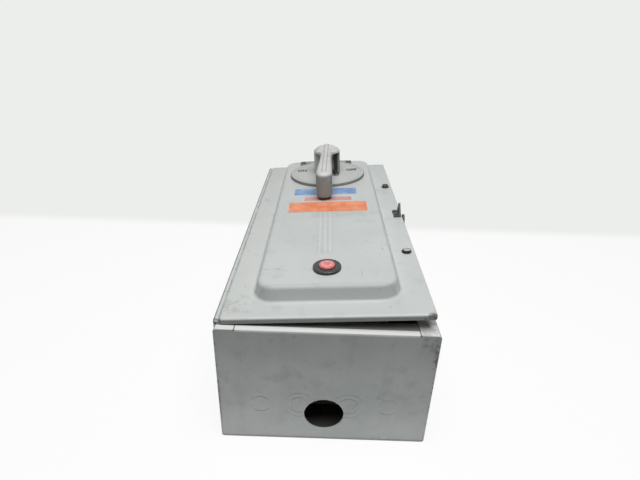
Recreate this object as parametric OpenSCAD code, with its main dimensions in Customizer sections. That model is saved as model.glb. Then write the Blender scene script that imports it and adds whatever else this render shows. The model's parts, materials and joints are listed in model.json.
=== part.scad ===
// Disconnect box with a rotary handle, a fused switch, a contactor and an overload relay.
// Frame: the origin is the centre of the back face, X runs across the cover,
// Y towards the upper end and Z out of the cover. The cover is drawn ajar.

/* [Box] */
// Width of the box across the cover
box_w = 230; // [210:1:320]
// Length of the box from the lower to the upper end
box_l = 520; // [500:1:700]
// Depth of the box from the back to the front flange
box_d = 150; // [145:1:220]
// Thickness of the sheet steel
sheet = 2; // [1.4:0.1:2.6]
// Outer radius of the bends in the sheet
bend_r = 3; // [2.8:0.1:5]
// Width of the front flange of the side walls
side_flange_w = 21; // [18:1:28]
// Width of the front flange of the end walls
end_flange_w = 20; // [12:1:26]
// Gap at the welded seams
seam = 0.1; // [0.05:0.05:0.3]

/* [Cover] */
// Angle that the cover stands open
ajar = 3.7; // [0:0.1:20]
// Height of the cover's flat face over the flange
lid_rise = 7; // [6:0.5:12]
// Inset of the cover at the two ends
lid_end_inset = 7.5; // [3:0.5:15]
// Gap between the closed cover's rim and the flange
lid_gap = 0.5; // [0.3:0.1:2]
// Corner radius of the cover
lid_corner = 3.5; // [3.5:0.5:15]
// Width of the raised panel
panel_w = 160; // [140:1:168]
// Distance from the cover's lower end to the raised panel
panel_margin = 26.5; // [20:0.5:50]
// Distance from the cover's upper end to the raised panel
panel_far = 20; // [18:0.5:50]
// Height of the raised panel over the flat face
panel_rise = 17; // [12:1:25]
// Corner radius of the raised panel
panel_corner = 24; // [15:1:40]
// Outer radius of the panel's upper edge
panel_edge_r = 6; // [4:0.5:9]
// Radius of the panel's foot
panel_foot_r = 4; // [3:0.5:6]
// Draft of the panel's wall
panel_draft = 18; // [0:1:25]
// Length of the three beads pressed into the panel
bead_l = 128; // [60:1:160]
// Distance between the beads
bead_pitch = 6.5; // [6:0.5:12]

/* [Hinge] */
// Outer radius of the hinge barrel
barrel_r = 2.8; // [2.5:0.1:4]
// Radius of the hinge pin
pin_r = 1.5; // [1:0.1:1.8]
// Thickness of the hinge leaves
leaf_t = 1.3; // [1:0.1:1.6]
// Gap between the hinge barrel and the flange
hinge_gap = 0.6; // [0.4:0.1:1.5]
// Length of the hinge
hinge_l = 500; // [300:10:600]
// Number of knuckles
knuckles = 20; // [8:2:40]

/* [Handle] */
// Distance from the upper end of the box to the handle axis
dial_from_end = 117; // [100:1:140]
// Radius of the dial plate
dial_r = 64; // [55:1:72]
// Thickness of the dial plate
dial_t = 5; // [3:0.5:8]
// Radius of the handle's hub
hub_r = 22; // [18:1:28]
// Height of the hub over the dial plate
hub_h = 48; // [34:1:60]
// Length of the lever from the axis to its end
lever_l = 126; // [90:1:140]
// Width of the lever at its waist
lever_w = 18; // [14:1:24]
// Width of the lever at its end
lever_end_w = 24.5; // [20:0.5:32]
// Radius of the handle shaft
shaft_r = 5; // [4:0.5:7]
// Angle at which the handle hangs from its off stop
handle_slack = 2.1; // [0:0.1:5]

/* [Reset button] */
// Distance from the lower end of the box to the button axis
button_from_end = 75; // [60:1:110]
// Outer radius of the bezel
bezel_r = 16; // [13:0.5:20]
// Radius of the button cap
cap_r = 9; // [6:0.5:10]
// Height of the cap over the bezel
cap_proud = 2.4; // [2:0.1:8]
// Travel of the button
button_travel = 4; // [2:0.5:4]

/* [Conduit entries] */
// Radius of the open hole in the lower end wall
entry_r = 21.85; // [14:0.05:25]
// Height of the open hole over the back
entry_z = 38; // [30:1:60]
// Height of the knockouts over the back
knockout_z = 51; // [40:1:80]
// Distance of the inner knockouts from the middle
knockout_inner_x = 27; // [22:1:40]
// Distance of the outer knockouts from the middle
knockout_outer_x = 70; // [58:1:85]
// Radius of the small knockouts
knockout_small_r = 11.1; // [9:0.1:14]
// Radius of the outer rings of the large knockouts
knockout_large_r = 17.45; // [15:0.05:22]

/* [Fixings] */
// Radius of the wall mounting holes
wall_hole_r = 4.4; // [3:0.1:6]
// Distance across the wall mounting holes
wall_span_x = 160; // [100:1:190]
// Distance from each end of the box to the wall mounting holes
wall_from_end = 24; // [15:1:30]
// Radius of the cover screws
screw_r = 3; // [2.5:0.5:4]
// Distance of each cover screw from mid-length
screw_y = 119; // [80:1:160]
// Height that the cover screws can back out
screw_travel = 5; // [2:0.5:7]

/* [Inside] */
// Height of the standoffs under the mounting panel
standoff_h = 10; // [6:1:16]
// Thickness of the mounting panel
plate_t = 2.5; // [2:0.5:4]
// Radius of the rotor shaft in the switch
rotor_r = 7; // [5:0.5:9]
// Height of the space between the switch decks
deck_space = 20; // [18:1:26]
// Thickness of the switch decks
deck_t = 4; // [3:0.5:6]
// Length of the cartridge fuses
fuse_l = 127; // [100:1:140]
// Radius of the fuse caps
fuse_r = 10.3; // [8:0.1:13]
// Travel of the contactor's armature
armature_travel = 5; // [3:0.5:6]

/* [Hidden] */
$fn = 64;

// Clearances: a running fit, a free gap between moving pieces and the reach of a cut past a face
fit = 0.06;
free = 0.4;
cut = 1;

// Cover levels when it is closed
lid_inset = 2 * barrel_r - leaf_t + free;
lid_w = box_w - 2 * lid_inset;
lid_l = box_l - 2 * lid_end_inset;
lid_top = box_d + lid_rise;
lid_under = lid_top - sheet;
panel_l = lid_l - panel_margin - panel_far;
panel_y = (panel_margin - panel_far) / 2;
panel_top = lid_top + panel_rise;
panel_under = panel_top - sheet;

// Raised panel: half the turn of its bends, their reach along the flats and the inset of its top
half_turn = (90 - panel_draft) / 2;
edge_reach = panel_edge_r * tan(half_turn);
foot_reach = panel_foot_r * tan(half_turn);
top_inset = panel_rise * tan(panel_draft) + edge_reach;
bend_lap = 0.6;
bend_steps = 8;
bead_x = -3;
foot_x = foot_reach + bend_lap / 2;
top_x = top_inset + bend_lap / 2;

// Handle and hinge levels
dial_top = panel_top + dial_t;
hinge_x = -box_w / 2 + barrel_r - leaf_t;
hinge_z = box_d + hinge_gap + barrel_r;
pitch = hinge_l / knuckles;
leaf_drop = 22;

// Places on the cover
dial_y = box_l / 2 - dial_from_end;
button_y = -box_l / 2 + button_from_end;
bushing_r = shaft_r + 3;
screw_x = box_w / 2 - 16;
screw_head_h = 3.2;
screw_seat = 0.1;
washer_r = 6.3;
washer_t = 1;
screw_l = 20;
hasp_l = 23;
hasp_t = 2.5;
hasp_foot_w = 10;
hasp_hole_r = 4;
hasp_hole_h = 7;
hasp_top_h = 18;
hasp_tip_r = 3.5;
field_t = 0.3;

// Levels inside the box
plate_z = sheet + standoff_h;
floor_z = plate_z + plate_t;
plate_w = box_w - 34;
plate_l = box_l - 80;
standoff_x = plate_w / 2 - 10;
standoff_y = plate_l / 2 - 15;

// Switch: four decks, three blade levels between them
deck_z = floor_z + 8;
deck_pitch = deck_space + deck_t;
deck_w = 108;
deck_l = 112;
post_x = 46;
post_r = 3;
blade_t = 3;
blade_r = 40;
blade_w = 12;
blade_lift = deck_space / 2;
jaw_w = 14;
jaw_t = 1.5;
jaw_gap = 0.4;
collar_r = 11;
collar_h = 18;
tongue_t = 4;
tongue_w = 9;
tongue_h = 8;
engage = 6;
deck_top = deck_z + 3 * deck_pitch + deck_t;
collar_z = deck_top + 2;
collar_top = collar_z + collar_h;

// Fuses
fuse_block_h = 13.5;
fuse_pitch = 50;
fuse_z = floor_z + fuse_block_h + 4 + fuse_r;
fuse_y = dial_y - deck_l / 2 - 2 - fuse_l / 2;
cap_l = 16;
clip_t = 1.3;
clip_gap = 0.1;

// Overload relay under the button, contactor above it
relay_w = 104;
relay_low = button_y - 31;
relay_high = button_y + 25;
relay_h = 48;
relay_step_h = 22;
relay_step_l = 16;
phase_pitch = 34;
plunger_r = 4;
plunger_proud = 14;
plunger_in = 12;
contactor_w = 110;
contactor_l = 84;
contactor_y = relay_high + 10 + contactor_l / 2;
contactor_h = 46;
contactor_step_l = 13;
contactor_step_h = 26;
contact_gap = armature_travel + 0.5;

steel_grey = "#8f9593";
cover_grey = "#b9bdbb";
zinc = "#b8bcc0";
black = "#222222";
phenolic = "#3a2a22";
copper = "#b87348";

// Outline with rounded corners
module rounded(w, l, r) {
    square([w - 2 * r, l], center = true);
    square([w, l - 2 * r], center = true);
    for (x = [-1, 1], y = [-1, 1])
        translate([x * (w / 2 - r), y * (l / 2 - r)]) circle(r);
}

// Part of a ring between two angles, the section of a sheet bend
module bend(outer, inner, from, to) {
    mid = (from + to) / 2;
    reach = 2 * outer;
    intersection() {
        difference() {
            circle(outer);
            circle(inner);
        }
        polygon([[0, 0], reach * [cos(from), sin(from)], reach * [cos(mid), sin(mid)],
            reach * [cos(to), sin(to)]]);
    }
}

// Runs a section round a rounded rectangle; the section's X counts outwards from the corner centres
module swept_ring(w, l, r) {
    for (side = [0, 1]) rotate([0, 0, 180 * side]) {
        translate([w / 2 - r, 0, 0]) rotate([90, 0, 0]) linear_extrude(l - 2 * r, center = true) children();
        translate([0, l / 2 - r, 0]) rotate([0, 0, 90]) rotate([90, 0, 0])
            linear_extrude(w - 2 * r, center = true) children();
        translate([w / 2 - r, l / 2 - r, 0]) rotate_extrude(angle = 90) children();
        translate([r - w / 2, l / 2 - r, 0]) rotate([0, 0, 90]) rotate_extrude(angle = 90) children();
    }
}

// Carries a piece drawn on the closed cover to the cover's ajar place
module on_lid() {
    translate([hinge_x, 0, hinge_z]) rotate([0, -ajar, 0]) translate([-hinge_x, 0, -hinge_z]) children();
}

// Cylinder along Y from y0
module bar_y(r, y0, l) {
    translate([0, y0, 0]) rotate([-90, 0, 0]) cylinder(r = r, h = l);
}

// Hexagon prism with a flat-to-flat size
module hex(across, h) {
    cylinder(r = across / sqrt(3), h = h, $fn = 6);
}

// Box centred in X and Y, standing on z = 0
module block(w, l, h) {
    translate([-w / 2, -l / 2, 0]) cube([w, l, h]);
}

module wrapper_section() {
    slot_w = box_w - 2 * side_flange_w;
    translate([0, box_d / 2]) difference() {
        rounded(box_w, box_d, bend_r);
        rounded(box_w - 2 * sheet, box_d - 2 * sheet, bend_r - sheet);
        translate([-slot_w / 2, box_d / 2 - sheet - cut / 2]) square([slot_w, sheet + cut]);
    }
}

module box_wrapper() color(steel_grey) difference() {
    rotate([90, 0, 0]) linear_extrude(box_l, center = true) wrapper_section();
    for (x = [-1, 1], y = [-1, 1])
        translate([x * wall_span_x / 2, y * (box_l / 2 - wall_from_end), -cut])
            cylinder(r = wall_hole_r, h = sheet + 2 * cut);
    for (y = [-screw_y, screw_y])
        translate([screw_x, y, box_d - sheet - cut]) cylinder(r = screw_r + 1.5, h = sheet + 2 * cut);
}

// Ring groove of a knockout in the outer face of an end wall
module knockout(x, z, r) {
    groove_w = 0.8;
    groove_d = 0.7;
    translate([x, -box_l / 2, z]) rotate([-90, 0, 0]) difference() {
        translate([0, 0, -cut]) cylinder(r = r, h = cut + groove_d);
        translate([0, 0, -2 * cut]) cylinder(r = r - groove_w, h = 2 * cut + 2 * groove_d);
    }
}

// End wall with a front flange, drawn at the lower end
module end_wall() {
    wall_w = box_w - 2 * sheet - 2 * seam;
    wall_h = box_d - 2 * sheet - 2 * seam;
    flange_x = box_w - 2 * side_flange_w - 2 * seam;
    difference() {
        union() {
            translate([0, sheet - box_l / 2, box_d / 2]) rotate([90, 0, 0])
                linear_extrude(sheet) rounded(wall_w, wall_h, bend_r - sheet + seam);
            translate([-flange_x / 2, -box_l / 2, 0]) rotate([90, 0, 90]) linear_extrude(flange_x) {
                translate([0, box_d / 2]) square([sheet, box_d / 2 - bend_r]);
                translate([bend_r, box_d - bend_r]) bend(bend_r, bend_r - sheet, 90, 180);
                translate([bend_r, box_d - sheet]) square([end_flange_w - bend_r, sheet]);
            }
        }
        for (x = [-1, 1]) {
            knockout(x * knockout_inner_x, knockout_z, knockout_large_r);
            knockout(x * knockout_inner_x, knockout_z, knockout_small_r);
            knockout(x * knockout_outer_x, knockout_z, knockout_small_r);
        }
    }
}

module lower_end_wall() color(steel_grey) difference() {
    end_wall();
    translate([0, 0, entry_z]) bar_y(entry_r, -box_l / 2 - cut, sheet + 2 * cut);
}

module upper_end_wall() color(steel_grey) mirror([0, 1, 0]) difference() {
    end_wall();
    knockout(0, entry_z, entry_r);
}

// Knuckle number i, cut short by half the free gap at each end
module knuckle(i, r, gap) {
    bar_y(r, -hinge_l / 2 + i * pitch + gap / 2, pitch - gap);
}

// One leaf with its own knuckles, cleared round the other leaf's knuckles
module hinge_leaf(first, bore) {
    other = 1 - first;
    difference() {
        union() {
            difference() {
                children();
                for (i = [other : 2 : knuckles - 1]) knuckle(i, barrel_r + free, 0);
            }
            for (i = [first : 2 : knuckles - 1]) knuckle(i, barrel_r, free);
        }
        bar_y(bore, -hinge_l / 2 - cut, hinge_l + 2 * cut);
    }
}

module hinge_box_leaf() color(steel_grey) translate([hinge_x, 0, hinge_z]) hinge_leaf(0, pin_r)
    translate([-barrel_r, -hinge_l / 2, -leaf_drop]) cube([leaf_t, hinge_l, leaf_drop]);

module hinge_pin() color(zinc) translate([hinge_x, 0, hinge_z]) bar_y(pin_r, -hinge_l / 2, hinge_l);

module weld_nuts() color(zinc) for (y = [-screw_y, screw_y])
    translate([screw_x, y, box_d - sheet - 6]) difference() {
        hex(13, 6);
        translate([0, 0, -cut]) cylinder(r = screw_r + 0.8, h = 6 + 2 * cut);
    }

// Upright plate along Y that tapers from its foot to a round tip, with a padlock hole along X
module hasp_plate(h, foot_h, tip_r, hole_h) {
    rotate([90, 0, 90]) linear_extrude(hasp_t) difference() {
        union() {
            polygon([[-hasp_l / 2, 0], [hasp_l / 2, 0], [hasp_l / 2, foot_h], [tip_r, h - tip_r],
                [-tip_r, h - tip_r], [-hasp_l / 2, foot_h]]);
            translate([0, h - tip_r]) circle(tip_r);
        }
        translate([0, hole_h]) circle(hasp_hole_r);
    }
}

module hasp_staple() color(black) {
    tip_r = hasp_hole_r + 3;
    translate([box_w / 2 - lid_inset + 2 * free, 0, box_d])
        hasp_plate(lid_rise + hasp_hole_h + tip_r, lid_rise, tip_r, lid_rise + hasp_hole_h);
}

module mounting_panel() color("#d8d9d4") difference() {
    translate([0, 0, plate_z]) linear_extrude(plate_t) rounded(plate_w, plate_l, 4);
    for (x = [-1, 1], y = [-1, 1])
        translate([x * standoff_x, y * standoff_y, plate_z - cut])
            cylinder(r = 2.5 + fit, h = plate_t + 2 * cut);
}

module panel_standoffs() color(zinc) for (x = [-1, 1], y = [-1, 1])
    translate([x * standoff_x, y * standoff_y, sheet]) difference() {
        cylinder(r = 6, h = standoff_h);
        translate([0, 0, standoff_h - 8]) cylinder(r = 2.5 + fit, h = 8 + cut);
    }

module panel_screws() color(zinc) for (x = [-1, 1], y = [-1, 1])
    translate([x * standoff_x, y * standoff_y, floor_z]) difference() {
        union() {
            translate([0, 0, -plate_t - 6]) cylinder(r = 2.5, h = plate_t + 6);
            cylinder(r = 4.8, h = 3);
        }
        translate([-6, -0.6, 1.8]) cube([12, 1.2, 3]);
    }

// Box lug with a wire hole along Y and a clamping screw on top
module lug(w, l, h, wire_r) {
    difference() {
        block(w, l, h);
        translate([0, 0, h * 0.42]) bar_y(wire_r, -l / 2 - cut, l + 2 * cut);
    }
    translate([0, 0, h]) difference() {
        cylinder(r = w * 0.36, h = 3);
        translate([-w / 2, -0.6, 1.5]) cube([w, 1.2, 3]);
    }
}

module ground_lug() color(zinc) translate([-relay_w / 2 - 14, button_y, floor_z]) lug(14, 20, 13, 4);

module switch_decks() color(phenolic) for (i = [0 : 3])
    translate([0, dial_y, deck_z + i * deck_pitch]) linear_extrude(deck_t) difference() {
        rounded(deck_w, deck_l, 6);
        circle(i == 0 || i == 3 ? rotor_r + fit : 2 * rotor_r + 2);
        for (x = [-1, 1], y = [-1, 1]) translate([x * post_x, y * post_x]) circle(post_r);
    }

module switch_posts() color(zinc) for (x = [-1, 1], y = [-1, 1])
    translate([x * post_x, dial_y + y * post_x, 0]) {
        translate([0, 0, floor_z]) cylinder(r = post_r, h = deck_top + 2 - floor_z);
        translate([0, 0, floor_z]) cylinder(r = 5, h = deck_z - floor_z);
        for (i = [0 : 2]) translate([0, 0, deck_z + deck_t + i * deck_pitch])
            cylinder(r = 5, h = deck_space);
        translate([0, 0, deck_top]) hex(9, 4);
    }

// Spring jaw on a deck: two leaves over and under the blade, a riser and a terminal pad
module jaw() {
    half = blade_t / 2 + jaw_gap;
    pad_end = deck_l / 2;
    root = blade_r + 2;
    rotate([90, 0, 90]) translate([0, 0, -jaw_w / 2]) linear_extrude(jaw_w) {
        translate([blade_r - 13, half]) square([root + 2 - blade_r + 13, jaw_t]);
        translate([blade_r - 13, -half - jaw_t]) square([root + 2 - blade_r + 13, jaw_t]);
        translate([root, -blade_lift]) square([2, blade_lift + half + jaw_t]);
        translate([root, -blade_lift]) square([pad_end - root, jaw_t]);
    }
}

// Places a child at every blade level
module at_levels() {
    for (i = [0 : 2]) translate([0, dial_y, deck_z + deck_t + i * deck_pitch + blade_lift]) children();
}

module line_jaws() color(copper) at_levels() jaw();

module load_jaws() color(copper) at_levels() rotate([0, 0, 180]) jaw();

module switch_lugs() color(zinc) at_levels() for (turn = [0, 180])
    rotate([0, 0, turn]) translate([0, deck_l / 2 - 6, jaw_t - blade_lift]) lug(12, 11, 9, 3);

module fuse_block() color(phenolic) translate([0, fuse_y, floor_z]) {
    block(2 * fuse_pitch + 52, fuse_l + 2, fuse_block_h);
    for (x = [-1.5, -0.5, 0.5, 1.5])
        translate([x * fuse_pitch, 0, fuse_block_h]) block(2, fuse_l + 2, 24);
}

// Places a child at both ends of every fuse
module at_fuse_ends() {
    for (x = [-1 : 1], y = [-1, 1])
        translate([x * fuse_pitch, fuse_y + y * (fuse_l / 2 - cap_l / 2), fuse_z]) children();
}

module fuse_clips() color(copper) at_fuse_ends() {
    clip_l = cap_l - 4;
    stem_h = fuse_z - floor_z - fuse_block_h;
    rotate([90, 0, 0]) linear_extrude(clip_l, center = true) difference() {
        union() {
            circle(fuse_r + clip_t);
            translate([-6, -stem_h]) square([12, stem_h]);
        }
        circle(fuse_r + clip_gap);
        translate([-2 * fuse_r, fuse_r * 0.5]) square(4 * fuse_r);
    }
}

module fuse_tubes() color("#c9a882") for (x = [-1 : 1])
    translate([x * fuse_pitch, fuse_y, fuse_z]) bar_y(fuse_r - 0.5, cap_l - fuse_l / 2, fuse_l - 2 * cap_l);

module fuse_caps() color("#c8a24a") at_fuse_ends() bar_y(fuse_r, -cap_l / 2, cap_l);

module contactor_base() color(phenolic) translate([0, contactor_y, floor_z]) difference() {
    union() {
        block(contactor_w, contactor_l - 2 * contactor_step_l, contactor_h);
        block(contactor_w, contactor_l, contactor_step_h);
    }
    translate([0, 0, 4]) block(contactor_w - 26, contactor_l - 2 * contactor_step_l - 6, contactor_h);
}

// E-shaped section of the magnet, its legs up
core_z = floor_z + 4;
core_w = 76;
core_l = 24;
core_back = 10;
core_leg = 16;
core_side = 10;
core_mid = 16;
core_top = core_z + core_back + core_leg;

module magnet_core() color("#6f6f70") translate([0, contactor_y, core_z]) {
    block(core_w, core_l, core_back);
    for (x = [-1, 1]) translate([x * (core_w - core_side) / 2, 0, core_back])
        block(core_side, core_l, core_leg);
    translate([0, 0, core_back]) block(core_mid, core_l, core_leg);
}

module magnet_coil() color("#7a1f1a") translate([0, contactor_y, core_z + core_back]) difference() {
    block(46, 48, core_leg - 1);
    translate([0, 0, -cut]) block(core_mid + 1, core_l + 1, core_leg + 2 * cut);
}

armature_z = core_top + contact_gap;
armature_t = 8;
bridge_t = 2;
fixed_t = 2;
fixed_z = floor_z + contactor_h;
bridge_z = fixed_z + fixed_t + contact_gap;
contact_w = 8;
crossbar_t = 6;
tab_w = 22;
tab_l = 8;
tab_h = 24;
arc_cover_h = 28;

module armature() color("#6f6f70") translate([0, contactor_y, armature_z])
    block(core_w, core_l, armature_t);

// Carrier: two legs on the armature, a crossbar over the bridges and an indicator tab
module contact_carrier() color("#e8e2d0") translate([0, contactor_y, 0]) {
    leg_z = armature_z + armature_t;
    for (x = [-1, 1]) translate([x * phase_pitch / 2, 0, leg_z])
        block(10, 10, bridge_z + bridge_t - leg_z);
    translate([0, 0, bridge_z + bridge_t]) block(2 * phase_pitch + contact_w + 4, 10, crossbar_t);
    translate([0, 0, bridge_z + bridge_t + crossbar_t]) block(tab_w, tab_l, tab_h);
}

module contact_bridges() color(copper) for (x = [-1 : 1])
    translate([x * phase_pitch, contactor_y, bridge_z]) block(contact_w, 40, bridge_t);

// Contact strap: from the contact face over the base's edge and down to the terminal step
module contact_strap() {
    edge = contactor_l / 2 - contactor_step_l;
    step_z = floor_z + contactor_step_h;
    rotate([90, 0, 90]) linear_extrude(contact_w, center = true) {
        translate([13, fixed_z]) square([edge + fixed_t - 13, fixed_t]);
        translate([edge, step_z]) square([fixed_t, fixed_z + fixed_t - step_z]);
        translate([edge, step_z]) square([contactor_step_l - 1, fixed_t]);
    }
}

// Places a child at both ends of every pole of the contactor
module at_poles() {
    for (x = [-1 : 1], turn = [0, 180])
        translate([x * phase_pitch, contactor_y, 0]) rotate([0, 0, turn]) children();
}

module fixed_contacts() color(copper) at_poles() contact_strap();

module contactor_terminals() color(zinc) at_poles()
    translate([0, contactor_l / 2 - 5, floor_z + contactor_step_h + fixed_t]) difference() {
        cylinder(r = 4, h = 4);
        translate([-5, -0.6, 2.5]) cube([10, 1.2, 3]);
    }

module arc_cover() color("#2d2a28") translate([0, contactor_y, fixed_z]) difference() {
    cover_l = contactor_l - 2 * contactor_step_l;
    wall = 4;
    block(contactor_w, cover_l, arc_cover_h);
    translate([0, 0, -cut]) block(contactor_w - 2 * wall, cover_l - 2 * wall, arc_cover_h - wall + cut);
    translate([0, 0, -cut]) block(tab_w + 2 * free, tab_l + 2 * free, arc_cover_h + 2 * cut);
    for (x = [-1 : 1]) translate([x * phase_pitch, 0, -cut]) block(contact_w, contactor_l, fixed_t + cut);
}

module relay_base() color(phenolic) difference() {
    union() {
        translate([-relay_w / 2, relay_low + relay_step_l, floor_z])
            cube([relay_w, relay_high - relay_low - relay_step_l, relay_h]);
        translate([-relay_w / 2, relay_low, floor_z]) cube([relay_w, relay_step_l + cut, relay_step_h]);
    }
    translate([0, button_y, floor_z + relay_h - plunger_in - button_travel - 2])
        cylinder(r = plunger_r + fit, h = plunger_in + button_travel + 2 + cut);
}

module heater_elements() color(zinc) for (x = [-1 : 1])
    translate([x * phase_pitch, relay_high - 11, floor_z + relay_h]) {
        cylinder(r = 7, h = 5);
        for (i = [0 : 2]) translate([0, 0, 5 + 2.4 * i]) cylinder(r = i == 1 ? 6.4 : 5, h = 2.4);
    }

module relay_straps() color(copper) for (x = [-1, 0, 1])
    translate([x * phase_pitch, relay_high, floor_z + contactor_step_h])
        translate([-5, 0, -10]) cube([10, 10, 6]);

module relay_terminals() color(zinc) for (x = [-1 : 1])
    translate([x * phase_pitch, relay_low + relay_step_l / 2 - 1, floor_z + relay_step_h])
        lug(13, 12, 10, 3.5);

module relay_plunger() color("#c0302c") translate([0, button_y, floor_z + relay_h - plunger_in])
    cylinder(r = plunger_r, h = plunger_in + plunger_proud);

// Points of an arc, from one angle to another
function arc(centre, r, from, to) = [for (i = [0 : bend_steps])
    let (a = from + (to - from) * i / bend_steps) centre + r * [cos(a), sin(a)]];

// Wall of the raised panel with its two bends, and a lap on each flat that it joins
module panel_section() {
    edge = [panel_corner - top_inset, panel_top - panel_edge_r];
    foot = [panel_corner + foot_reach, lid_top + panel_foot_r];
    lean = panel_draft;
    polygon(concat(
        [[edge[0] - bend_lap, panel_top]], arc(edge, panel_edge_r, 90, lean),
        arc(foot, panel_foot_r, 180 + lean, 270), [[foot[0] + bend_lap, lid_top]],
        [[foot[0] + bend_lap, lid_under]], arc(foot, panel_foot_r + sheet, 270, 180 + lean),
        arc(edge, panel_edge_r - sheet, lean, 90), [[edge[0] - bend_lap, panel_under]]));
}

// Section of the cover's rim: bend and skirt
module rim_section() {
    translate([lid_corner - bend_r, lid_top - bend_r]) bend(bend_r, bend_r - sheet, 0, 90);
    translate([lid_corner - sheet, box_d + lid_gap]) square([sheet, lid_rise - lid_gap - bend_r]);
}

// Shallow bead that runs out in a slope at each end
module bead(x) {
    bead_r = 7;
    bead_h = 0.5;
    bead_y = -28 - bead_l / 2;
    run = 22;
    end = bead_l / 2;
    low = -0.05;
    high = bead_h + 0.05;
    translate([x, bead_y, panel_top]) intersection() {
        translate([0, 0, bead_h - bead_r]) bar_y(bead_r, -end, bead_l);
        translate([-bead_r, 0, 0]) rotate([90, 0, 90]) linear_extrude(2 * bead_r)
            polygon([[-end, -sheet / 2], [end, -sheet / 2], [end, low], [end - run, high],
                [run - end, high], [-end, low]]);
    }
}

module lid_cover() color(cover_grey) on_lid() difference() {
    union() {
        translate([0, 0, lid_under]) linear_extrude(sheet) difference() {
            rounded(lid_w - 2 * bend_r, lid_l - 2 * bend_r, lid_corner - bend_r);
            translate([0, panel_y])
                rounded(panel_w + 2 * foot_x, panel_l + 2 * foot_x, panel_corner + foot_x);
        }
        swept_ring(lid_w, lid_l, lid_corner) rim_section();
        translate([0, panel_y, 0]) swept_ring(panel_w, panel_l, panel_corner) panel_section();
        translate([0, panel_y, panel_under]) linear_extrude(sheet)
            rounded(panel_w - 2 * top_x, panel_l - 2 * top_x, panel_corner - top_x);
        for (i = [-1 : 1]) bead(bead_x + i * bead_pitch);
    }
    translate([0, dial_y, panel_under - cut]) cylinder(r = bushing_r + fit, h = sheet + 2 * cut);
    translate([0, button_y, panel_under - cut]) cylinder(r = cap_r + 2 + fit, h = sheet + 2 * cut);
    at_dial_studs() translate([0, 0, panel_under - cut]) cylinder(r = 2.5, h = sheet + 2 * cut);
    for (y = [-screw_y, screw_y])
        translate([screw_x, y, lid_under - cut]) cylinder(r = screw_r + free, h = sheet + 2 * cut);
}

module hinge_lid_leaf() color(cover_grey) on_lid() translate([hinge_x, 0, hinge_z])
    hinge_leaf(1, pin_r + fit)
        translate([barrel_r - leaf_t, -hinge_l / 2, box_d + lid_gap - hinge_z])
            cube([leaf_t + free, hinge_l, lid_rise - lid_gap - bend_r]);

module hasp_ear() color(black) on_lid() {
    edge = lid_w / 2 - bend_r;
    translate([edge - hasp_t, 0, lid_top]) hasp_plate(hasp_top_h, hasp_t, hasp_tip_r, hasp_hole_h);
    translate([edge - hasp_foot_w, -hasp_l / 2, lid_top]) cube([hasp_foot_w - hasp_t, hasp_l, hasp_t]);
    for (y = [-1, 1]) translate([edge - hasp_foot_w + 3.2, y * hasp_l / 4, lid_top + hasp_t])
        cylinder(r = 2.2, h = 1.3);
}

// Places a child on the three studs of the dial plate
module at_dial_studs() {
    for (turn = [90, 210, 330]) translate([0, dial_y, 0]) rotate([0, 0, turn])
        translate([dial_r - 14, 0, 0]) children();
}

module dial_plate() color(cover_grey) on_lid() translate([0, dial_y, panel_top])
    rotate_extrude() difference() {
    edge = 1.2;
    union() {
        translate([bushing_r, 0]) square([dial_r - bushing_r, dial_t - edge]);
        translate([bushing_r, 0]) square([dial_r - edge - bushing_r, dial_t]);
        translate([dial_r - edge, dial_t - edge]) circle(edge);
    }
    translate([dial_r - 6, dial_t - 0.5]) square([1, 1]);
}

module dial_nuts() color(zinc) on_lid() at_dial_studs() {
    translate([0, 0, panel_top - 14]) cylinder(r = 2.5, h = 14);
    translate([0, 0, panel_under - 4]) hex(8, 4);
}

module shaft_bushing() color("#b08d4c") on_lid() translate([0, dial_y, panel_under - 12]) difference() {
    cylinder(r = bushing_r, h = dial_top - panel_under + 12);
    translate([0, 0, -cut]) cylinder(r = shaft_r + fit, h = dial_top - panel_under + 12 + 2 * cut);
}

module bushing_nut() color(zinc) on_lid() translate([0, dial_y, panel_under - 6]) difference() {
    hex(24, 6);
    translate([0, 0, -cut]) cylinder(r = bushing_r + fit, h = 6 + 2 * cut);
}

// Button levels: the bezel's top, its cup's floor and the cap's underside
bezel_h = 3.5;
bezel_top = panel_top + bezel_h;
cup_z = panel_under - 20;
cup_floor = 3;
cap_under = cup_z + cup_floor + 13;
stem_r = 3;
stem_end = floor_z + relay_h + plunger_proud + 1.5;

module button_bezel() color(black) on_lid() translate([0, button_y, 0]) difference() {
    union() {
        translate([0, 0, panel_top]) rotate_extrude() {
            square([bezel_r - 1, bezel_h]);
            square([bezel_r, bezel_h - 1]);
            translate([bezel_r - 1, bezel_h - 1]) circle(1);
        }
        translate([0, 0, cup_z]) cylinder(r = cap_r + 2, h = panel_top - cup_z);
    }
    translate([0, 0, cup_z + cup_floor]) cylinder(r = cap_r + free, h = bezel_top - cup_z);
    translate([0, 0, cup_z - cut]) cylinder(r = stem_r + fit, h = cup_floor + 2 * cut);
}

module button_nut() color(zinc) on_lid() translate([0, button_y, panel_under - 5]) difference() {
    hex(30, 5);
    translate([0, 0, -cut]) cylinder(r = cap_r + 2 + fit, h = 5 + 2 * cut);
}

module reset_cap() color("#d8433f") on_lid() translate([0, button_y, cap_under]) rotate_extrude() {
    h = bezel_top + cap_proud - cap_under;
    square([cap_r - 1.5, h]);
    square([cap_r, h - 1.5]);
    translate([cap_r - 1.5, h - 1.5]) circle(1.5);
}

module reset_stem() color(zinc) on_lid() translate([0, button_y, stem_end])
    cylinder(r = stem_r, h = cap_under - stem_end);

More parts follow.
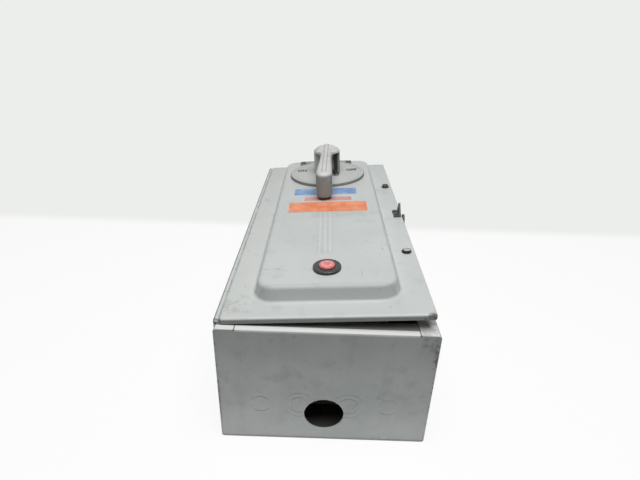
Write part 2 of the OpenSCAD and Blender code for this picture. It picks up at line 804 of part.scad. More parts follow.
// Button spring: straight ends, then a steady helix, as one tube of six sides
spring_r = 6;
spring_wire = 0.6;
spring_curls = 4;
spring_steps = 8 * spring_curls;
spring_z0 = cup_z + cup_floor;
spring_l = cap_under - spring_z0;
spring_lead = 2 * spring_wire;
function spring_point(i) =
    let (t = i / spring_steps, a = 360 * spring_curls * t)
    [spring_r * cos(a), spring_r * sin(a), 2 * spring_lead + (spring_l - 4 * spring_lead) * t];
spring_path = concat([[spring_r, 0, 0], [spring_r, 0, spring_lead]],
    [for (i = [0 : spring_steps]) spring_point(i)],
    [[spring_r, 0, spring_l - spring_lead], [spring_r, 0, spring_l]]);
spring_gap = (spring_l - 4 * spring_lead) / spring_curls - 2 * spring_wire;
echo(least_gap_between_curls_mm = spring_gap);
function unit(v) = v / norm(v);
function tangent(p, i) = unit(p[min(i + 1, len(p) - 1)] - p[max(i - 1, 0)]);

// Tube along a path that never runs radially, so that the radial direction squares the rings
module tube(path, r, sides) {
    n = len(path);
    rings = [for (i = [0 : n - 1])
        let (d = i < 2 || i > n - 3 ? [0, 0, 1] : tangent(path, i),
            out = unit([path[i][0], path[i][1], 0]), side = unit(cross(d, out)), up = cross(side, d))
        for (k = [0 : sides - 1]) path[i] + r * (cos(360 * k / sides) * up + sin(360 * k / sides) * side)];
    polyhedron(rings, concat([[for (k = [0 : sides - 1]) k]],
        [for (i = [0 : n - 2], k = [0 : sides - 1])
            [i * sides + k, (i + 1) * sides + k, (i + 1) * sides + (k + 1) % sides]],
        [for (i = [0 : n - 2], k = [0 : sides - 1])
            [i * sides + k, (i + 1) * sides + (k + 1) % sides, i * sides + (k + 1) % sides]],
        [[for (k = [sides - 1 : -1 : 0]) (n - 1) * sides + k]]));
}

module button_spring() color(zinc) on_lid() translate([0, button_y, spring_z0])
    tube(spring_path, spring_wire, 6);

module screw_washers() color(zinc) on_lid() for (y = [-screw_y, screw_y])
    translate([screw_x, y, lid_top]) difference() {
        cylinder(r = washer_r, h = washer_t);
        translate([0, 0, -cut]) cylinder(r = screw_r + fit, h = washer_t + 2 * cut);
    }

// Captive screw with a slotted hexagon head, and a ring that stops it under the cover
module cover_screw(y) {
    ring_t = 1;
    ring_z = -screw_seat - washer_t - sheet - screw_travel - ring_t;
    translate([screw_x, y, lid_top + washer_t + screw_seat]) difference() {
        union() {
            hex(9, screw_head_h);
            translate([0, 0, -screw_l - washer_t]) cylinder(r = screw_r, h = screw_l + washer_t);
            translate([0, 0, ring_z]) cylinder(r = screw_r + free + 0.4, h = ring_t);
        }
        translate([-8, -0.6, screw_head_h - 1.2]) cube([16, 1.2, 3]);
    }
}

module cover_screw_lower() color("#55575a") on_lid() cover_screw(-screw_y);

module cover_screw_upper() color("#55575a") on_lid() cover_screw(screw_y);

// Bare label field on the raised panel: its middle from the handle axis and its size
module field(x, y, size) {
    on_lid() translate([x, dial_y + y, panel_top]) linear_extrude(field_t) rounded(size[0], size[1], 1);
}

name_x = -2.7;
name_y = dial_r - 1;
name_size = [95, 16];
name_t = dial_t - 1;
name_gap = 1.2;
blue_x = -3;
blue_y = -dial_r - 19;
blue_size = [98, 27];
red_x = 1;
red_y = blue_y - 32.5;
red_size = [72, 14];
orange_x = 0.6;
orange_y = red_y - 31.5;
orange_size = [115, 37];

// Raised bare plate beyond the dial, cut clear of the dial's edge
module name_plate() color("#3a3c3e") on_lid() translate([0, dial_y, panel_top])
    linear_extrude(name_t) difference() {
        translate([name_x, name_y]) rounded(name_size[0], name_size[1], 1);
        circle(dial_r + name_gap);
    }

module orange_field() color("#f07a4a") field(orange_x, orange_y, orange_size);

module blue_field() color("#5f88cc") field(blue_x, blue_y, blue_size);

module red_field() color("#c0504f") field(red_x, red_y, red_size);

// Handle: hub with a rounded crown and a deep lever, drawn round the handle axis
grip_z = dial_top + 0.6;
lever_low = panel_top + 4 - grip_z;
lever_high = hub_h - 11;
crown_r = 10;
socket_h = 30;
groove_r = 1.2;
groove_x = 3.6;
lock_w = 9;
lock_t = 3;
lock_l = 19;
lock_in = 9;
lock_z = 1.5;
lock_turn = -45;

// Plan outline of the lever: a waist that widens to a round end
module lever_plan() {
    end_r = lever_end_w / 2;
    waist_y = -hub_r - 10;
    flare_y = end_r * 1.3 - lever_l;
    polygon([[-lever_w / 2, 0], [lever_w / 2, 0], [lever_w / 2, waist_y], [end_r, flare_y],
        [end_r, end_r - lever_l], [-end_r, end_r - lever_l], [-end_r, flare_y], [-lever_w / 2, waist_y]]);
    translate([0, end_r - lever_l]) circle(end_r);
}

// Side outline of the lever, lower beyond the dial plate's edge; X counts along Y
module lever_side() {
    drop_y = -dial_r - 6;
    polygon([[0, 0], [0, hub_h], [-hub_r, hub_h - 4], [-lever_l, lever_high], [-lever_l, lever_low],
        [drop_y, lever_low], [drop_y, 1], [-hub_r, 0]]);
}

// Turns what the handle carries or drives to where the handle hangs
module hung() {
    rotate([0, 0, -handle_slack]) children();
}

module handle_grip() color("#c4c6c4") on_lid() translate([0, dial_y, grip_z]) hung() difference() {
    slope = atan2(hub_h - 4 - lever_high, lever_l - hub_r);
    union() {
        rotate_extrude() {
            square([hub_r - crown_r, hub_h]);
            square([hub_r, hub_h - crown_r]);
            translate([hub_r - crown_r, hub_h - crown_r]) circle(crown_r);
        }
        intersection() {
            translate([0, 0, lever_low]) linear_extrude(hub_h - lever_low) lever_plan();
            rotate([90, 0, 90]) linear_extrude(lever_end_w, center = true) lever_side();
        }
    }
    for (x = [-1, 1]) translate([x * groove_x, -lever_l, lever_high + 0.3]) rotate([slope, 0, 0])
        bar_y(groove_r, -cut, lever_l - hub_r - 6);
    translate([0, 0, -cut]) cylinder(r = shaft_r + fit, h = socket_h + cut);
    rotate([0, 0, lock_turn]) translate([lock_in - 1, -lock_w / 2 - free, lock_z])
        cube([hub_r, lock_w + 2 * free, lock_t + 2 * free]);
}

module handle_shaft() color(zinc) on_lid() translate([0, dial_y, collar_top - engage]) hung() {
    translate([0, 0, tongue_h])
        cylinder(r = shaft_r, h = grip_z + socket_h - collar_top + engage - tongue_h);
    block(tongue_w, tongue_t, tongue_h);
}

// Padlock tab that slides out of the hub towards the lower right
module lock_tab() color(zinc) on_lid() translate([0, dial_y, grip_z + lock_z + free])
    hung() rotate([0, 0, lock_turn]) linear_extrude(lock_t) difference() {
        eye_x = lock_in + lock_l - lock_w / 2;
        union() {
            translate([lock_in, -lock_w / 2]) square([lock_l - lock_w / 2, lock_w]);
            translate([eye_x, 0]) circle(lock_w / 2);
        }
        translate([eye_x, 0]) circle(2.6);
    }

module rotor_shaft() color("#4a3a30") translate([0, dial_y, deck_z])
    cylinder(r = rotor_r, h = collar_z - deck_z);

module rotor_blades() color(copper) at_levels() hung() linear_extrude(blade_t, center = true) difference() {
    union() {
        rounded(2 * blade_r, blade_w, 2);
        circle(rotor_r + 4);
    }
    circle(rotor_r + fit);
}

module drive_collar() color(zinc) translate([0, dial_y, collar_z]) hung() difference() {
    cylinder(r = collar_r, h = collar_h);
    translate([0, 0, collar_h - tongue_h]) block(3 * collar_r, tongue_t + 0.6, tongue_h + cut);
}

box_wrapper();
lower_end_wall();
upper_end_wall();
hinge_box_leaf();
hinge_pin();
weld_nuts();
hasp_staple();
mounting_panel();
panel_standoffs();
panel_screws();
ground_lug();
switch_decks();
switch_posts();
line_jaws();
load_jaws();
switch_lugs();
fuse_block();
fuse_clips();
fuse_tubes();
fuse_caps();
contactor_base();
magnet_core();
magnet_coil();
fixed_contacts();
contactor_terminals();
arc_cover();
relay_base();
heater_elements();
relay_straps();
relay_terminals();
lid_cover();
hinge_lid_leaf();
hasp_ear();
dial_plate();
dial_nuts();
shaft_bushing();
bushing_nut();
button_bezel();
button_nut();
button_spring();
screw_washers();
name_plate();
orange_field();
blue_field();
red_field();
handle_grip();
handle_shaft();
lock_tab();
rotor_shaft();
rotor_blades();
drive_collar();
reset_cap();
reset_stem();
relay_plunger();
armature();
contact_carrier();
contact_bridges();
cover_screw_lower();
cover_screw_upper();
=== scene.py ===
# %% [markdown]
# # A grey disconnect box with its cover ajar
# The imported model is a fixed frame: every node has its real size and place already.
# This lesson gives each node a finish, models again the few pieces that a drawing of
# sizes leaves too plain, and sets the light and the camera.
# All lengths are written in millimetres and turned to metres by one factor.

# %% Load the frame
import json
import math

import bpy
from mathutils import Matrix, Vector


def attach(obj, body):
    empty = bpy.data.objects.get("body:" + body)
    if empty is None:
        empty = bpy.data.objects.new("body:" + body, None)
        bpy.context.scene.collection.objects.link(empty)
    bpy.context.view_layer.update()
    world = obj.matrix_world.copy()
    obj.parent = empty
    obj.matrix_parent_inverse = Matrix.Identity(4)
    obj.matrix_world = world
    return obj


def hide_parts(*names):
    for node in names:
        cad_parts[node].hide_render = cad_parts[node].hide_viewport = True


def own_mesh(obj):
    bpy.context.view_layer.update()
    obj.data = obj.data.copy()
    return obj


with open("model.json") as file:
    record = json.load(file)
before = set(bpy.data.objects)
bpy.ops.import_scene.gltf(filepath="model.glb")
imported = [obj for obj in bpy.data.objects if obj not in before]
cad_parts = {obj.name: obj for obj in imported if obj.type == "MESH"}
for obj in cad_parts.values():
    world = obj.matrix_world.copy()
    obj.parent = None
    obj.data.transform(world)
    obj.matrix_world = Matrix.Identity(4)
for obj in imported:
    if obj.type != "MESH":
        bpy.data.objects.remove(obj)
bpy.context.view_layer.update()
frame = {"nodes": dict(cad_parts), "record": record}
nodes = frame["nodes"]
MM = 0.001

# %% [markdown]
# ## Camera
# The photograph was taken close to the near end of the box, looking down, with the camera
# rolled a little to one side. The place, the tilt and the lens were solved from the corners
# of the box, so the camera is built from those angles, not aimed by eye.
# The image is taken to be 640 by 480, and the lens is counted on its width.

# %% Camera
PITCH, YAW, ROLL = (math.radians(a) for a in (26.45, -0.10, 1.84))
CAMERA_AT = Vector((-9.7, -624.5, 434.8))
SENSOR_W, LENS = 36, 25.56
flat = math.cos(PITCH)
ahead = Vector((math.sin(YAW) * flat, math.cos(YAW) * flat, -math.sin(PITCH)))
level = Vector((math.cos(YAW), -math.sin(YAW), 0))
above = level.cross(ahead)
right = level * math.cos(ROLL) + above * math.sin(ROLL)
top = above * math.cos(ROLL) - level * math.sin(ROLL)
place = Matrix((right, top, -ahead)).transposed().to_4x4()
place.translation = CAMERA_AT * MM
lens = bpy.data.cameras.new("camera")
lens.sensor_fit = "HORIZONTAL"
lens.sensor_width = SENSOR_W
lens.lens = LENS
camera = bpy.data.objects.new("camera", lens)
bpy.context.scene.collection.objects.link(camera)
camera.matrix_world = place
bpy.context.scene.camera = camera
print("camera", [round(v, 4) for v in camera.location])

# %% [markdown]
# ## Two helpers for nodes
# A colour is read off as a hex value, as on a paint chart. Shaders work with light, which
# is not the same number, so one function turns the hex value into linear light.
# The other helper adds one node: its settings, and for each input a value or a link.


# %% Colour and node helpers
def linear(code):
    parts = [int(code[i : i + 2], 16) / 255 for i in (1, 3, 5)]
    return [p / 12.92 if p <= 0.04045 else ((p + 0.055) / 1.055) ** 2.4 for p in parts] + [1]


def add(tree, kind, inputs=None, **settings):
    node = tree.nodes.new("ShaderNode" + kind)
    for name, value in settings.items():
        setattr(node, name, value)
    for key, value in (inputs or {}).items():
        if isinstance(value, bpy.types.NodeSocket):
            tree.links.new(value, node.inputs[key])
        else:
            node.inputs[key].default_value = value
    return node


print("mid grey is", round(linear("#808080")[0], 3))

# %% [markdown]
# ## Floor, backdrop and light
# The box lies on white paper. An upright backdrop would hide the box from behind, so one wide
# floor does for both: white round the box, pale grey further off, and the sky has the same
# grey for the rays that the camera sees.
# Part of the floor's white is its own glow for those rays, so that it stays white and
# still shows a soft shadow. The white ends 270 mm in front of the box, so the near end wall
# gets its light back from the paper low down more than high up, as in the photograph.
# The lamp stays at the level where paint renders as written.


# %% Floor
def seen_rays(tree):
    path = add(tree, "LightPath").outputs
    straight = {0: path["Is Camera Ray"], 1: path["Is Glossy Ray"]}
    straight = add(tree, "Math", straight, operation="MAXIMUM").outputs[0]
    through = {0: straight, 1: path["Is Transmission Ray"]}
    return add(tree, "Math", through, operation="MAXIMUM").outputs[0]


FAR_GREY, PAPER_WHITE, NEAR_GREY = (linear(code) for code in ("#ECEEEB", "#FAFAF8", "#6E6E6C"))
PAPER_END = (295, 345)
PAPER_START = (-600, -460)
OWN_GLOW = 0.88
FLOOR_M, BELOW_BOX = 40, 0.4
paper = bpy.data.materials.new("white_paper")
paper.use_nodes = True
tree = paper.node_tree
tree.nodes.remove(tree.nodes["Principled BSDF"])
along = add(tree, "SeparateXYZ", {0: add(tree, "TexCoord").outputs["Object"]}).outputs["Y"]
far, near = (
    add(tree, "MapRange", {0: along, 1: low * MM, 2: high * MM}, interpolation_type="SMOOTHSTEP").outputs[0]
    for low, high in (PAPER_END, PAPER_START)
)
tint = add(tree, "Mix", {0: far, 6: (1, 1, 1, 1), 7: FAR_GREY}, data_type="RGBA").outputs[2]
sheet = add(tree, "Mix", {0: near, 6: NEAR_GREY, 7: PAPER_WHITE}, data_type="RGBA").outputs[2]
matt = add(tree, "BsdfDiffuse", {"Color": sheet}).outputs[0]
glow = add(tree, "Emission", {"Color": tint, "Strength": 1.0}).outputs[0]
own = add(tree, "MapRange", {0: far, 3: OWN_GLOW, 4: 1.0}).outputs[0]
share = add(tree, "Math", {0: seen_rays(tree), 1: own}, operation="MULTIPLY").outputs[0]
blend = add(tree, "MixShader", {0: share, 1: matt, 2: glow}).outputs[0]
tree.links.new(blend, tree.nodes["Material Output"].inputs["Surface"])
bpy.ops.object.select_all(action="DESELECT")
bpy.ops.mesh.primitive_plane_add(size=FLOOR_M, location=(0, 0, -BELOW_BOX * MM))
floor = bpy.context.object
floor.name = "floor"
bpy.ops.object.transform_apply(location=True, rotation=False, scale=False)
floor.data.materials.append(paper)
print("floor", tuple(round(v, 2) for v in floor.dimensions))

# %% Sky
SKY_LIGHT = 0.20
sky = bpy.data.worlds.new("sky")
sky.use_nodes = True
bpy.context.scene.world = sky
tree = sky.node_tree
tree.nodes["Background"].inputs["Strength"].default_value = SKY_LIGHT
backdrop = add(tree, "Background", {"Color": FAR_GREY, "Strength": 1.0}).outputs[0]
lit = tree.nodes["Background"].outputs[0]
blend = add(tree, "MixShader", {0: seen_rays(tree), 1: lit, 2: backdrop}).outputs[0]
tree.links.new(blend, tree.nodes["World Output"].inputs["Surface"])
print("sky light", SKY_LIGHT)


# %% Lamp
def soft_lamp(name, place, aim, size, watts):
    lamp = bpy.data.lights.new(name, "AREA")
    lamp.shape = "RECTANGLE"
    lamp.size, lamp.size_y = size
    lamp.energy = watts
    thing = bpy.data.objects.new(name, lamp)
    bpy.context.scene.collection.objects.link(thing)
    thing.location = place
    thing.rotation_euler = (Vector(aim) - Vector(place)).to_track_quat("-Z", "Y").to_euler()
    return thing


key = soft_lamp("key_lamp", place=(0.05, -0.48, 1.60), aim=(0, -0.05, 0.12), size=(1.2, 1.2), watts=27)
print("key lamp at", tuple(round(v, 2) for v in key.location))

# %% [markdown]
# ## Where the cover is
# The cover hangs on a hinge along its left edge and stands open by 3.7 degrees. Its
# pieces are modelled as if it were shut, where its faces are level and its sizes are
# round numbers, and one turn about the hinge then puts them in place.
# The same turn, taken backwards, gives the paint on the cover level coordinates.
# The sizes that the paint and the new pieces share come first: the box, its half width and its
# near end, and on the shut cover the raised panel's top, the dial and the button.

# %% The cover's turn
BOX_W, BOX_L, BOX_D = 230, 520, 150
SIDE_X, NEAR_Y = BOX_W / 2, -BOX_L / 2
PANEL_TOP = 174
DIAL_Y, DIAL_R, DIAL_T = 143, 64, 5
DIAL_TOP = PANEL_TOP + DIAL_T
BUTTON_Y = -185
AJAR = math.radians(3.7)
HINGE = Vector((-113.5, 0, 153.4)) * MM
cover_turn = Matrix.Translation(HINGE) @ Matrix.Rotation(-AJAR, 4, "Y") @ Matrix.Translation(-HINGE)
shut_turn = cover_turn.inverted()
BOX_SPACE = ((0, 0, 0), (0, 0, 0))
COVER_SPACE = (tuple(shut_turn.to_euler()), tuple(shut_turn.translation / MM))
rim = Vector((110, 0, 157)) * MM
print("the free rim of the cover lifts", round((cover_turn @ rim - rim).z, 4), "m")

# %% [markdown]
# ## How a finish is put together
# Every finish starts from the same four things: a colour that drifts a little over the
# surface, a roughness that drifts with it, a fine grain that bends the light, and coats.
# A coat is what use has left on top, such as dust, rust, chips or print. It has a colour,
# a blot size in millimetres, and a threshold that says how much of the surface it takes.
# A coat may be kept to a box, to the rim outside a box, to a ring, or to where they meet.
# A box is written as its middle, its half sizes and how far it fades out. A ring is written as
# its middle, its radius and its width.

# %% Coats
RING_FADE = 0.3


def keep_to_box(tree, mm, middle, half, soft, outside=False):
    away = add(tree, "VectorMath", {0: mm, 1: middle}, operation="SUBTRACT").outputs[0]
    away = add(tree, "VectorMath", {0: away}, operation="ABSOLUTE").outputs[0]
    past = add(tree, "VectorMath", {0: away, 1: half}, operation="SUBTRACT").outputs[0]
    x, y, z = add(tree, "SeparateXYZ", {0: past}).outputs
    most = add(tree, "Math", {0: x, 1: y}, operation="MAXIMUM").outputs[0]
    most = add(tree, "Math", {0: most, 1: z}, operation="MAXIMUM").outputs[0]
    ends = (0, 1) if outside else (1, 0)
    limits = {0: most, 1: 0, 2: soft, 3: ends[0], 4: ends[1]}
    return add(tree, "MapRange", limits, interpolation_type="SMOOTHSTEP").outputs[0]


def keep_to_ring(tree, mm, middle, radius, width):
    flat = add(tree, "VectorMath", {0: mm, 1: (1, 1, 0)}, operation="MULTIPLY").outputs[0]
    reach = add(tree, "VectorMath", {0: flat, 1: (*middle, 0)}, operation="DISTANCE").outputs["Value"]
    off = add(tree, "Math", {0: reach, 1: radius}, operation="SUBTRACT").outputs[0]
    off = add(tree, "Math", {0: off}, operation="ABSOLUTE").outputs[0]
    limits = {0: off, 1: width / 2 - RING_FADE, 2: width / 2 + RING_FADE, 3: 1, 4: 0}
    return add(tree, "MapRange", limits, interpolation_type="SMOOTHSTEP").outputs[0]


def coat_mask(tree, mm, blot, cut, share=1.0, stretch=None, box=None, rim=None, ring=None):
    spread = mm
    if stretch:
        spread = add(tree, "VectorMath", {0: mm, 1: stretch}, operation="MULTIPLY").outputs[0]
    noise = add(tree, "TexNoise", {"Vector": spread, "Scale": 1 / blot, "Detail": 4.0, "Roughness": 0.6})
    limits = {0: noise.outputs["Fac"], 1: cut[0], 2: cut[1], 3: 0, 4: share}
    mask = add(tree, "MapRange", limits, interpolation_type="SMOOTHSTEP").outputs[0]
    limits = []
    if box:
        limits.append(keep_to_box(tree, mm, *box))
    if rim:
        limits.append(keep_to_box(tree, mm, *rim, outside=True))
    if ring:
        limits.append(keep_to_ring(tree, mm, *ring))
    for kept in limits:
        mask = add(tree, "Math", {0: mask, 1: kept}, operation="MULTIPLY").outputs[0]
    return mask


print("coats ready")


# %% Finish
def finish(name, base, tone, drift, rough, grain, coats=(), space=BOX_SPACE, lines=None, **shader_values):
    material = bpy.data.materials.new(name)
    material.use_nodes = True
    tree = material.node_tree
    shader = tree.nodes["Principled BSDF"]
    for key, value in shader_values.items():
        shader.inputs[key.replace("_", " ")].default_value = value
    turn, shift = space
    where = add(tree, "TexCoord").outputs["Object"]
    scale = (1 / MM,) * 3
    mm = add(tree, "Mapping", {0: where, "Location": shift, "Rotation": turn, "Scale": scale}).outputs[0]
    noise = add(tree, "TexNoise", {"Vector": mm, "Scale": 1 / drift, "Detail": 3.0}).outputs["Fac"]
    # Most of the noise lies between 0.35 and 0.65, so that span is stretched over the two tones
    amount = add(tree, "MapRange", {0: noise, 1: 0.35, 2: 0.65}).outputs[0]
    colour = add(tree, "Mix", {0: amount, 6: linear(base), 7: linear(tone)}, data_type="RGBA").outputs[2]
    dull = add(tree, "MapRange", {0: amount, 3: rough[0], 4: rough[1]}).outputs[0]
    size, height = grain
    relief = add(tree, "TexNoise", {"Vector": mm, "Scale": 1 / size, "Detail": 2.0}).outputs["Fac"]
    if lines:
        # A wave texture runs through 20 radians in one unit, so its scale is found from the pitch
        axis, pitch, line_colour = lines
        bands = {"Vector": mm, "Scale": 2 * math.pi / 20 / pitch, "Distortion": 0.4, "Detail": 1.0}
        wave = add(tree, "TexWave", bands, bands_direction=axis).outputs["Fac"]
        thin = add(tree, "MapRange", {0: wave, 1: 0.75, 2: 1.0}, interpolation_type="SMOOTHSTEP").outputs[0]
        colour = add(tree, "Mix", {0: thin, 6: colour, 7: linear(line_colour)}, data_type="RGBA").outputs[2]
        relief = add(tree, "Math", {0: relief, 1: thin}, operation="SUBTRACT").outputs[0]
    for coat in coats:
        mask = coat_mask(tree, mm, **{k: v for k, v in coat.items() if k not in ("colour", "rough")})
        layers = {0: mask, 6: colour, 7: linear(coat["colour"])}
        colour = add(tree, "Mix", layers, data_type="RGBA").outputs[2]
        dull = add(tree, "Mix", {0: mask, 2: dull, 3: coat.get("rough", 0.7)}).outputs[0]
    bump = add(tree, "Bump", {"Height": relief, "Distance": height * MM, "Strength": 1.0}).outputs[0]
    tree.links.new(colour, shader.inputs["Base Color"])
    tree.links.new(dull, shader.inputs["Roughness"])
    tree.links.new(bump, shader.inputs["Normal"])
    return material


print("finish ready")

# %% [markdown]
# ## Cover enamel
# The cover is pressed steel with light grey stove enamel, sprayed on: a satin skin with a
# faint orange peel, here one bump about every 2 mm. Dust has dulled it, a hand has greyed
# it, and it has chipped down to rust along the rim and most of all at the free near corner.
# Painting this as layers of thresholded noise keeps every edge sharp at any distance.
# The three pressed beads have a painted highlight on their crests and painted shade on one flank.
# The skirt, the panel's near slope and the side of the dial are painted darker as shade, and a
# painted shadow of the handle lies on the panel below the films.

# %% Dust and smudges on the cover
DIAL_AT = (0, DIAL_Y)
# This box keeps the dial's paint to the outside of the cover
DIAL_SIDE = ((*DIAL_AT, DIAL_TOP - 1), (DIAL_R + 6, DIAL_R + 6, 3.6), 0.2)
cover_dust_and_shadow = [
    # A warm cast along the hinge, a greyer dial, and a painted shadow of the handle on the panel below the
    # films
    dict(colour="#CBCBC5", blot=70, cut=(0.3, 0.6), share=0.4, box=((-102, 0, 157), (10, 255, 14), 22)),
    dict(colour="#BCBEBC", blot=40, cut=(0.1, 0.3), share=0.9,
         ring=(DIAL_AT, DIAL_R / 2, 64.6), box=DIAL_SIDE),
    dict(colour="#A9A8A1", blot=30, cut=(0.3, 0.6), share=0.35,
         box=((16, -33, PANEL_TOP + 1), (34, 4, 3), 12)),
    # Clouds, spots and specks all over
    dict(colour="#AFB1AD", blot=22, cut=(0.54, 0.74), share=0.45),
    dict(colour="#9C9D98", blot=9, cut=(0.64, 0.74), share=0.35),
    dict(colour="#5F5A50", blot=2.4, cut=(0.735, 0.765), share=0.8),
]
print(len(cover_dust_and_shadow), "coats of dust")

# %% Worn rim, skirt and corners of the cover
INSIDE_RIM = ((-4, 0, 140), (113.6, 251.8, 60), 0.6)
SKIRT_Y = -253
cover_wear_and_shade = [
    # The worn rim, the side of the dial painted dark as shade, and the chipped free corner
    dict(colour="#8C8982", blot=8, cut=(0.52, 0.68), share=0.35, rim=INSIDE_RIM),
    dict(colour="#7B7973", blot=60, cut=(0.0, 0.2), share=0.95,
         ring=(DIAL_AT, DIAL_R, 2.0), box=DIAL_SIDE),
    dict(colour="#857763", blot=5, cut=(0.3, 0.5), share=0.85, rough=0.85,
         box=((107, SKIRT_Y, 152.5), (5, 1.6, 3), 2)),
    # Painted shade on the skirt and on the panel's near slope
    dict(colour="#747775", blot=25, cut=(0.1, 0.4), share=0.8,
         box=((0, SKIRT_Y, 152.2), (111, 1.4, 2.2), 1.5)),
    dict(colour="#A6AAA8", blot=25, cut=(0.1, 0.4), share=0.5, box=((0, -222, 166), (78, 4, 7), 3)),
    # Smudges and chips at the near corners, and a dark mark at the hinge corner
    dict(colour="#A3A6A4", blot=9, cut=(0.47, 0.6), share=0.55, box=((-92, -226, 157), (12, 12, 3), 8)),
    dict(colour="#4B4138", blot=3.5, cut=(0.52, 0.6), share=0.8, box=((103, -252, 154), (5, 2, 4), 3)),
    dict(colour="#3A3632", blot=4, cut=(0.25, 0.45), share=0.6,
         box=((-109.5, -251.5, 154.5), (0.7, 0.7, 3), 1.6)),
]
print(len(cover_wear_and_shade), "coats of wear")

# %% Scratches, beads and the whole cover enamel
BEAD_X, BEAD_PITCH, BEAD_Y = -3, 6.5, -86
BEAD_HALF_L, BEAD_HALF_W = 60, 3
panel_marks = [
    # Three scratches
    dict(colour="#85837D", blot=6, cut=(0.3, 0.6), share=0.8,
         box=((38, -196, PANEL_TOP), (0.3, 8, 2), 0.5)),
    dict(colour="#85837D", blot=4, cut=(0.4, 0.6), share=0.8,
         box=((66, -138, PANEL_TOP), (0.4, 6, 2), 0.6)),
    dict(colour="#8E8C86", blot=5, cut=(0.35, 0.6), share=0.7,
         box=((-62, -184, PANEL_TOP), (9, 0.3, 2), 0.5)),
]
# Each bead gets a painted highlight on its crest and painted shade on its +X flank
for x in (BEAD_X - BEAD_PITCH, BEAD_X, BEAD_X + BEAD_PITCH):
    crest = ((x, BEAD_Y, PANEL_TOP), (0.6, BEAD_HALF_L, 2), 1.2)
    flank = ((x + BEAD_HALF_W, BEAD_Y, PANEL_TOP), (0.5, BEAD_HALF_L, 2), 1.0)
    panel_marks.append(dict(colour="#DCDFDE", blot=60, cut=(0.0, 0.2), share=0.28, box=crest))
    panel_marks.append(dict(colour="#AEB2B0", blot=60, cut=(0.0, 0.2), share=0.2, box=flank))
cover_enamel = finish("satin_grey_enamel", "#C4C8C7", "#BFC4C3", 85, (0.36, 0.46), (2.0, 0.02),
                      cover_dust_and_shadow + cover_wear_and_shade + panel_marks, COVER_SPACE)
print(cover_enamel.name, "with", len(panel_marks), "marks on the panel")

# %% [markdown]
# ## Box enamel
# The box has the same enamel, but it stands where boots, tools and dirt reach it, so it is
# darker and flatter. Rain and handling left faint upright streaks on its ends, which a
# noise stretched along Z draws. The near right edge is chipped to brown steel, and dirt
# lies along the bottom and in the two seams of the flange, with a painted contact shadow
# under the foot. The near end has painted shade above and painted light from the floor below,
# and the knockout grooves are painted light. The flange has painted light in front and
# painted shade under the cover, and inside, the walls are painted dark as shade.
# The hinge has the cover's grey, with painted shade along its outer side.

# %% Streaks and dirt all over the box
box_dirt = [
    # Upright streaks, clouds, smudges, spots and specks
    dict(colour="#A2A7A5", blot=12, cut=(0.48, 0.72), share=0.5, stretch=(1, 1, 0.16)),
    dict(colour="#A4A8A6", blot=40, cut=(0.45, 0.7), share=0.5),
    dict(colour="#8F9391", blot=17, cut=(0.5, 0.7), share=0.4),
    dict(colour="#7C7D79", blot=6, cut=(0.64, 0.74), share=0.5),
    dict(colour="#5C574E", blot=2.2, cut=(0.73, 0.76), share=0.8),
]
print(len(box_dirt), "coats of dirt")

# %% Wear on the near end of the box
EDGE_X, EDGE_Y = SIDE_X - 0.4, NEAR_Y + 0.4
ALL_X, MID_Z = SIDE_X + 1, BOX_D / 2
near_end_wear_and_painted_light = [
    # Dirt along the foot, chips and a smudge at the right, and a painted contact shadow where it stands
    dict(colour="#77766F", blot=9, cut=(0.4, 0.62), share=0.45, box=((0, NEAR_Y, 1), (ALL_X, 2, 2), 6)),
    dict(colour="#565249", blot=5, cut=(0.43, 0.54), share=0.9, rough=0.85,
         box=((113.2, NEAR_Y + 0.5, 127), (1.5, 2, 17), 3)),
    dict(colour="#6A6B67", blot=7, cut=(0.42, 0.6), share=0.6, box=((104, NEAR_Y, 138), (5, 2, 7), 5)),
    dict(colour="#4F504E", blot=30, cut=(0.1, 0.3), share=0.9,
         box=((0, NEAR_Y, 0.5), (ALL_X, 4, 1.6), 1.2)),
    # Worn upright edges
    dict(colour="#686A67", blot=9, cut=(0.3, 0.55), share=0.8,
         box=((-EDGE_X, EDGE_Y, 42), (0.9, 0.9, 42), 1)),
    dict(colour="#6A655C", blot=5, cut=(0.5, 0.6), share=0.8,
         box=((EDGE_X, EDGE_Y, MID_Z), (0.8, 0.8, 76), 1)),
    dict(colour="#6A655C", blot=5, cut=(0.52, 0.62), share=0.8,
         box=((-EDGE_X, EDGE_Y, MID_Z), (0.8, 0.8, 76), 1)),
    # A stain by the left seam, and dirt along the top edge
    dict(colour="#B59A5C", blot=4, cut=(0.3, 0.5), share=0.6,
         box=((-93.5, -257, BOX_D), (1.4, 2, 1.5), 1.2)),
    dict(colour="#7A776F", blot=9, cut=(0.52, 0.66), share=0.4,
         box=((0, EDGE_Y, BOX_D - 0.4), (ALL_X, 1, 1), 1)),
    # The end wall has painted shade above and painted light from the floor below
    dict(colour="#8E9290", blot=60, cut=(0.0, 0.3), share=0.4,
         box=((0, NEAR_Y, BOX_D - 4), (ALL_X, 2, 3), 60)),
    dict(colour="#C6CAC9", blot=60, cut=(0.0, 0.3), share=0.5, box=((0, NEAR_Y, 0), (ALL_X, 2, 10), 60)),
]
print(len(near_end_wear_and_painted_light), "coats on the near end")

# %% Flange, grooves, inside and the whole box enamel
SEAM_X, FLANGE_Y = 94, NEAR_Y + 10
